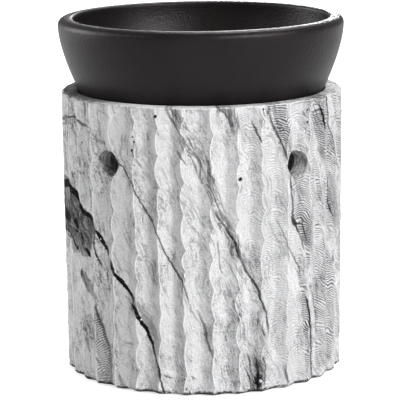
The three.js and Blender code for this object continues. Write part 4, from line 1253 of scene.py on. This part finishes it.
    def lay_ground(self, pale):
        """Mottled clay with painted shade in the flutes, on the left side and on the rim's top, painted shade
        and highlights at the ridges, and painted light along the rim.
        """
        painted_flute_shade = self.attribute(PAINTED_FLUTE_SHADE)
        self.outside = self.most(self.attribute(OUTSIDE), self.rim_top)
        crest_shade_and_highlight = self.attribute(CREST_SHADE_AND_HIGHLIGHT)
        # Weight of the streaks, freckles and hairlines: patchy, and heavier towards the left, which makes
        # that side darker
        speckle_weight = self.times(
            self.ramp(self.cloud, 0.44, 0.6, 0.15, 1.0), self.ramp(self.angle, -50, -22, 1.3, 0.75)
        )
        # Random mottling, and painted shade that darkens the left side
        mottle_and_left_shade = self.times_plus(
            self.ramp(self.angle, -45, -80), 0.1, self.ramp(self.cloud, 0.4, 0.72, 0, 0.12)
        )
        streak = self.times(self.ramp(self.grain, 0.42, 0.62, 0.0, 0.26), speckle_weight)
        freckle = self.times(self.ramp(self.speck, 0.5, 0.62, 0.0, 0.3), speckle_weight)
        hair = self.times(self.ramp(self.threads, 0.55, 0.63, 0.0, 0.5), speckle_weight)
        freckle = self.plus(freckle, hair)
        # Painted shade on the rim's top towards the left, and a little painted light on it at the front
        rim_top_shade = self.times(
            self.ramp(self.height, 99.3, 100.1), self.ramp(self.angle, -10, -55, -0.1, 0.6)
        )
        # How strong the painted shade in the flutes is, most on the left side
        shaded = self.times(
            self.ramp(self.angle, -75, 5, 0.34, 0.12), self.ramp(self.cloud, 0.3, 0.6, 0.7, 1.2)
        )
        # Painted shade in the flutes and on the rim's top
        flute_and_rim_shade = self.times_plus(self.ramp(painted_flute_shade, 0.2, 0.8), shaded, rim_top_shade)
        dust = self.ramp(self.speck, 0.38, 0.62, -0.08, 0.1)
        tone = self.plus(self.plus(mottle_and_left_shade, streak), self.plus(freckle, flute_and_rim_shade), dust)
        # The tone carries random texture and the painted shade towards the grey
        ground = self.mix(tone, pale, TONE_AND_SHADE_GREY)
        # Painted shade left of each ridge's edge, patchy with the cloud, then the painted highlight right of
        # it
        crest_shade = self.times(self.ramp(crest_shade_and_highlight, 0.3, 0.95), self.ramp(self.cloud, 0.42, 0.58, 0.25, 0.8))
        ground = self.mix(crest_shade, ground, CREST_SHADE_GREY)
        ground = self.mix(self.ramp(crest_shade_and_highlight, -0.3, -1.0, 0.0, 0.7), ground, CREST_HIGHLIGHT_WHITE)
        # Painted light along the rim's top edge, on the right and at the front
        painted_rim_light = self.times(
            self.ramp(self.height, 99.5, 100.3, 0.0, 0.75), self.ramp(self.angle, -55, -30)
        )
        return self.mix(painted_rim_light, ground, RIM_LIGHT_WHITE)

    def lay_smoke(self, smoke, ground, dark):
        """Smoke over the ground, with combed ripples on the right and faint streaks all over."""
        right_side = self.plus(
            self.ramp(self.angle, 44, 54, 0.0, 0.5), self.ramp(self.angle, 0, 30, 0.0, 0.5)
        )
        right_side = self.times(right_side, self.ramp(self.angle, 78, 105, 1.0, 0.25))
        combed = self.times(right_side, self.ramp(self.bands, 0.52, 0.44))
        combed = self.times(combed, self.ramp(self.wave, 0.15, 0.9, 0.0, 0.85))
        streaky = self.times(
            self.ramp(self.bands, 0.44, 0.62, 0.15, 0.85), self.ramp(self.strands, 0.5, 0.62)
        )
        streaky = self.most(combed, self.times(streaky, 0.6))
        feathered = self.times(smoke, self.ramp(self.strands, 0.35, 0.55, 0.6, 1.0))
        densest = self.times(self.ramp(smoke, 0.8, 0.98), self.ramp(self.cloud, 0.42, 0.6, 0.92, 0.52))
        return self.mix(self.most(feathered, densest, streaky), ground, dark)

    def lay_veins(self, veins, smoked, dark):
        """Veins over the smoke, with pale flecks and painted glints over both."""
        ragged = self.times(veins, self.ramp(self.speck, 0.22, 0.4, 0.85, 1.0))
        veined = self.mix(ragged, smoked, dark)
        # Pale flecks, and the listed pale spots, some of which are painted glints
        fleck_and_glint = self.most(self.ramp(self.speck, 0.36, 0.3, 0.0, 0.5), self.spots(PALE_SPOTS_AND_GLINTS))
        return self.mix(fleck_and_glint, veined, FLECK_AND_GLINT_WHITE)

    def bare_inside_and_foot_shade(self, marbled):
        """Bare, dull clay inside the wall, its darker grey also painted shade in the bores and chamber, and a
        dark line along the foot's edge, partly chipping and partly painted shade.
        """
        # Darker grey clay inside the wall, also painted shade in the bores and chamber
        bare = self.mix(self.ramp(self.cloud, 0.35, 0.65), CLAY_DARK, CLAY_PALE)
        bare = self.mix(self.ramp(self.grain, 0.45, 0.58, 0.0, 0.75), bare, CLAY_GRAIN)
        body = self.mix(self.ramp(self.outside, 0.4, 0.9), bare, marbled)
        # A dark line along the foot's edge, partly chipping and partly painted shade where the lamp meets the
        # floor
        foot_shade_and_chipping = self.times(
            self.ramp(self.times_plus(self.speck, -2.6, self.height), 0.7, 0.1),
            self.ramp(self.wander, 0.36, 0.48)
        )
        return self.mix(self.times(foot_shade_and_chipping, 0.92), body, FOOT_SHADE_DARK)

    def roughen(self, holes):
        """The surface's normal, from coarse clay to the pinholes."""
        clay = self.noise(self.stretch(self.place, 1, 1, 0.5), 600, 4, 0.75)
        normal = self.bump(clay, 1.0, 0.75)
        normal = self.bump(self.grain, 0.9, 0.24, normal)
        normal = self.bump(self.speck, 1.0, 0.28, normal)
        normal = self.bump(self.ripples, 0.8, 0.05, normal)
        return self.bump(self.minus(1.0, holes), 0.8, 0.5, normal)


def marble(sizes):
    """Pale ceramic marbled with smoky grey and black, fine gouge grain, pinholes and bare edges, with painted
    shade, highlights and glints in its colour.
    """
    marbling = Marbling("marbled_ceramic")
    marbling.find_place()
    marbling.make_patterns()
    marbling.make_ripples()
    veins, smoke = marbling.draw_marks()
    holes = marbling.spots(PINHOLES)
    veins, smoke = marbling.add_rear(veins, smoke)
    ground = marbling.lay_ground(sizes.ground)
    smoked = marbling.lay_smoke(smoke, ground, sizes.smoke)
    marbled = marbling.lay_veins(veins, smoked, sizes.vein)
    # Painted shade inside the pinholes
    colour = marbling.mix(holes, marbling.bare_inside_and_foot_shade(marbled), PINHOLE_SHADE)
    normal = marbling.roughen(holes)
    roughness = marbling.ramp(marbling.cloud, 0.3, 0.7, 0.55, 0.72)
    return marbling.finish(colour, roughness, normal, Specular_IOR_Level=0.04)


# The other materials

GLAZE_SHEEN = (1.0, 0.92, 0.97)
GLAZE_LIGHTER = (0.010, 0.008, 0.0078)


def black_glaze(sizes):
    """Satin black glaze with a faint orange-peel surface and dust-fine speckle."""
    recipe = Recipe("black_glaze")
    peel = recipe.noise(recipe.place, 420, 2, 0.5)
    speckle = recipe.noise(recipe.place, 1350, 2, 0.7)
    slow = recipe.noise(recipe.place, 38, 3, 0.6)
    normal = recipe.bump(peel, 0.45, 0.10)
    normal = recipe.bump(speckle, 1.0, 0.17, normal)
    colour = recipe.mix(recipe.ramp(slow, 0.3, 0.7), sizes.glaze, GLAZE_LIGHTER)
    roughness = recipe.ramp(slow, 0.25, 0.75, 0.34, 0.42)
    return recipe.finish(
        colour, roughness, normal, IOR=1.4, Specular_IOR_Level=0.3, Specular_Tint=GLAZE_SHEEN
    )


def foil(sizes):
    """Bright drawn aluminium with fine upright streaks and soft handling marks."""
    recipe = Recipe("pressed_aluminium")
    streaks = recipe.noise(recipe.stretch(recipe.place, 1, 1, 0.06), 2600, 3, 0.6)
    dents = recipe.noise(recipe.place, 260, 3, 0.6)
    scratch = recipe.noise(recipe.stretch(recipe.place, 0.15, 1, 1), 1800, 2, 0.5)
    tone = recipe.ramp(streaks, 0.3, 0.7)
    colour = recipe.mix(tone, (0.62, 0.625, 0.64), (0.8, 0.8, 0.81))
    rough = recipe.plus(recipe.ramp(streaks, 0.3, 0.75, 0.2, 0.34), recipe.ramp(scratch, 0.55, 0.7, 0.0, 0.1))
    normal = recipe.bump(dents, 0.4, 0.12)
    normal = recipe.bump(streaks, 0.5, 0.02, normal)
    return recipe.finish(colour, rough, normal, Metallic=1.0)


def paraffin(sizes):
    """Milky wax with faint cloudy crystals and a slightly pitted skin."""
    recipe = Recipe("paraffin_wax")
    cloud = recipe.noise(recipe.place, 230, 4, 0.6, 0.5)
    crystals = recipe.noise(recipe.place, 1400, 3, 0.6)
    pits = recipe.noise(recipe.place, 3200, 2, 0.5)
    colour = recipe.mix(recipe.ramp(cloud, 0.3, 0.7), toned(sizes.wax, 0.88), sizes.wax)
    colour = recipe.mix(recipe.ramp(crystals, 0.55, 0.7, 0.0, 0.25), colour, (0.92, 0.91, 0.88))
    normal = recipe.bump(cloud, 0.5, 0.15)
    normal = recipe.bump(pits, 0.4, 0.03, normal)
    rough = recipe.ramp(crystals, 0.3, 0.7, 0.32, 0.5)
    return recipe.finish(
        colour, rough, normal, IOR=1.43, Subsurface_Weight=0.4, Subsurface_Scale=1.2 * MM,
        Subsurface_Radius=(1.0, 0.9, 0.75)
    )


def braid(sizes):
    """Waxed cotton with fine fibres along the strands."""
    recipe = Recipe("waxed_cotton")
    fibres = recipe.noise(recipe.stretch(recipe.place, 1, 1, 0.3), 9000, 2, 0.6)
    patches = recipe.noise(recipe.place, 900, 3, 0.6)
    colour = recipe.mix(recipe.ramp(fibres, 0.3, 0.7), toned(sizes.cotton, 0.6), sizes.cotton)
    colour = recipe.mix(recipe.ramp(patches, 0.5, 0.7, 0.0, 0.4), colour, (0.86, 0.85, 0.8))
    normal = recipe.bump(fibres, 0.7, 0.05)
    return recipe.finish(colour, recipe.ramp(patches, 0.35, 0.65, 0.8, 0.5), normal, Sheen_Weight=0.2)


def tin_plate():
    """Stamped tinned sheet with rolling lines."""
    recipe = Recipe("tinned_sheet")
    lines = recipe.noise(recipe.stretch(recipe.place, 0.1, 1, 1), 3500, 3, 0.6)
    stain = recipe.noise(recipe.place, 500, 3, 0.6)
    colour = recipe.mix(recipe.ramp(lines, 0.3, 0.7), (0.42, 0.42, 0.43), (0.6, 0.6, 0.61))
    colour = recipe.mix(recipe.ramp(stain, 0.55, 0.75, 0.0, 0.4), colour, (0.3, 0.29, 0.28))
    normal = recipe.bump(lines, 0.4, 0.02)
    return recipe.finish(colour, recipe.ramp(stain, 0.3, 0.7, 0.25, 0.45), normal, Metallic=1.0)


def felt(sizes):
    """Pressed felt with a matted nap of short fibres."""
    recipe = Recipe("pressed_felt")
    nap = recipe.noise(recipe.place, 1500, 4, 0.7, 0.8)
    fibres = recipe.noise(recipe.place, 5200, 3, 0.7, 2.5)
    colour = recipe.mix(recipe.ramp(fibres, 0.35, 0.7), sizes.felt, toned(sizes.felt, 2.4))
    colour = recipe.mix(recipe.ramp(nap, 0.45, 0.75, 0.0, 0.5), colour, toned(sizes.felt, 0.5))
    normal = recipe.bump(nap, 0.9, 0.18)
    normal = recipe.bump(fibres, 0.8, 0.06, normal)
    return recipe.finish(colour, 0.95, normal, Sheen_Weight=0.5, Sheen_Roughness=0.6)


def studio_paper(sizes):
    """Matt white paper that glows a little where the camera sees it, as a bright background does."""
    recipe = Recipe("pale_paper")
    seen = recipe.add("ShaderNodeLightPath").outputs["Is Camera Ray"]
    glow = recipe.times(seen, 0.72)
    fibres = recipe.noise(recipe.place, 900, 3, 0.6)
    colour = recipe.mix(fibres, toned(sizes.paper, 0.985), sizes.paper)
    return recipe.finish(colour, 0.9, Emission_Color=sizes.paper, Emission_Strength=glow)


# Studio

FLOOR_HALF = 4000
LAMP_MIDDLE = 60
LIGHT_DISTANCE = 3
# How bright the white surround is in mirroring surfaces, over the little light that it gives to all
MIRRORED_LEVEL = 0.25
AMBIENT_LEVEL = 0.07
# Each with its azimuth from the front, elevation and softness in degrees, and its level: how bright a
# white sheet is that faces it
LIGHTS = {
    "key_light": (55, 28, 9, 0.64),
    "front_light": (35, 28, 9, 0.49),
    "left_light": (-70, 28, 12, 0.17),
    "back_left_light": (-115, 12, 30, 0.6),
    "rear_light": (165, 52, 20, 0.5),
    "rim_light": (176, 7, 8, 0.1),
}
# The photograph's width, and how far right of its middle the lamp's axis stands, both in pixels
PICTURE_WIDTH, AXIS_OFFSET = 400, 2.72


def distant_light(name, azimuth, elevation, softness, level):
    """An even light from far away, turned towards the lamp's middle."""
    light = bpy.data.lights.new(name, "SUN")
    light.angle = math.radians(softness)
    light.energy = level * math.pi
    source = bpy.data.objects.new(name, light)
    bpy.context.scene.collection.objects.link(source)
    turn, rise = math.radians(azimuth), math.radians(elevation)
    away = Vector((math.sin(turn) * math.cos(rise), -math.cos(turn) * math.cos(rise), math.sin(rise)))
    source.location = Vector((0, 0, LAMP_MIDDLE * MM)) + LIGHT_DISTANCE * away
    source.rotation_euler = away.to_track_quat("Z", "Y").to_euler()


def white_surround():
    """A white world that the camera sees in full, while the lamp gets only a little of its light."""
    world = bpy.data.worlds.new("white_surround")
    world.use_nodes = True
    sky = Nodes(world.node_tree)
    rays = sky.add("ShaderNodeLightPath").outputs
    mirrored = sky.times_plus(rays["Is Glossy Ray"], MIRRORED_LEVEL, AMBIENT_LEVEL)
    background = sky.tree.nodes["Background"]
    sky.join(sky.most(rays["Is Camera Ray"], mirrored), background.inputs["Strength"])
    sky.join((1, 1, 1), background.inputs["Color"])
    return world


def photo_camera(sizes):
    """The camera, placed as the photograph's was."""
    data = bpy.data.cameras.new("photo_camera")
    data.lens = sizes.lens
    data.sensor_width = 36
    data.shift_x = -AXIS_OFFSET / PICTURE_WIDTH
    data.clip_end = 100
    camera = bpy.data.objects.new("photo_camera", data)
    bpy.context.scene.collection.objects.link(camera)
    camera.location = (0, -sizes.camera_distance, sizes.camera_height)
    tilt = Matrix.Rotation(math.pi / 2 - sizes.camera_pitch, 3, "X")
    camera.rotation_euler = (tilt @ Matrix.Rotation(-sizes.camera_roll, 3, "Z")).to_euler()
    return camera


class LAMP_OT_studio(bpy.types.Operator):
    """Make the pale floor, the soft lights and the camera"""
    bl_idname = "lamp.studio"
    bl_label = "Studio"

    def execute(self, context):
        scene = context.scene
        sizes = scene.lamp_studio
        half = FLOOR_HALF
        corners = [(-half, -half, 0), (half, -half, 0), (half, half, 0), (-half, half, 0)]
        floor = new_mesh("studio_floor", corners, [[0, 1, 2, 3]])
        floor.data.materials.append(studio_paper(sizes))
        scene.world = white_surround()
        scene.view_settings.view_transform = "Standard"
        for name, settings in LIGHTS.items():
            distant_light(name, *settings)
        scene.camera = photo_camera(sizes)
        return {"FINISHED"}


PROPERTY_GROUPS = {
    "lamp_body": BodySizes,
    "lamp_bowl": BowlSizes,
    "lamp_tealight": TealightSizes,
    "lamp_pads": PadSizes,
    "lamp_studio": StudioSizes,
}
OPERATORS = (LAMP_OT_studio, LAMP_OT_body, LAMP_OT_bowl, LAMP_OT_tealight, LAMP_OT_pads)


class LAMP_PT_panel(bpy.types.Panel):
    """Lists the lamp's pieces in the 3D view's sidebar"""
    bl_label = "Aroma Lamp"
    bl_idname = "LAMP_PT_panel"
    bl_space_type = "VIEW_3D"
    bl_region_type = "UI"
    bl_category = "Aroma Lamp"

    def draw(self, context):
        for operator in OPERATORS:
            self.layout.operator(operator.bl_idname)


CLASSES = (*PROPERTY_GROUPS.values(), *OPERATORS, LAMP_PT_panel)


def register():
    for item in CLASSES:
        bpy.utils.register_class(item)
    for name, group in PROPERTY_GROUPS.items():
        setattr(bpy.types.Scene, name, PointerProperty(type=group))


def unregister():
    for name in PROPERTY_GROUPS:
        delattr(bpy.types.Scene, name)
    for item in reversed(CLASSES):
        bpy.utils.unregister_class(item)


def main():
    register()
    bpy.ops.lamp.studio()
    bpy.ops.lamp.body()
    bpy.ops.lamp.bowl()
    bpy.ops.lamp.tealight()
    bpy.ops.lamp.pads()


if __name__ == "__main__":
    main()
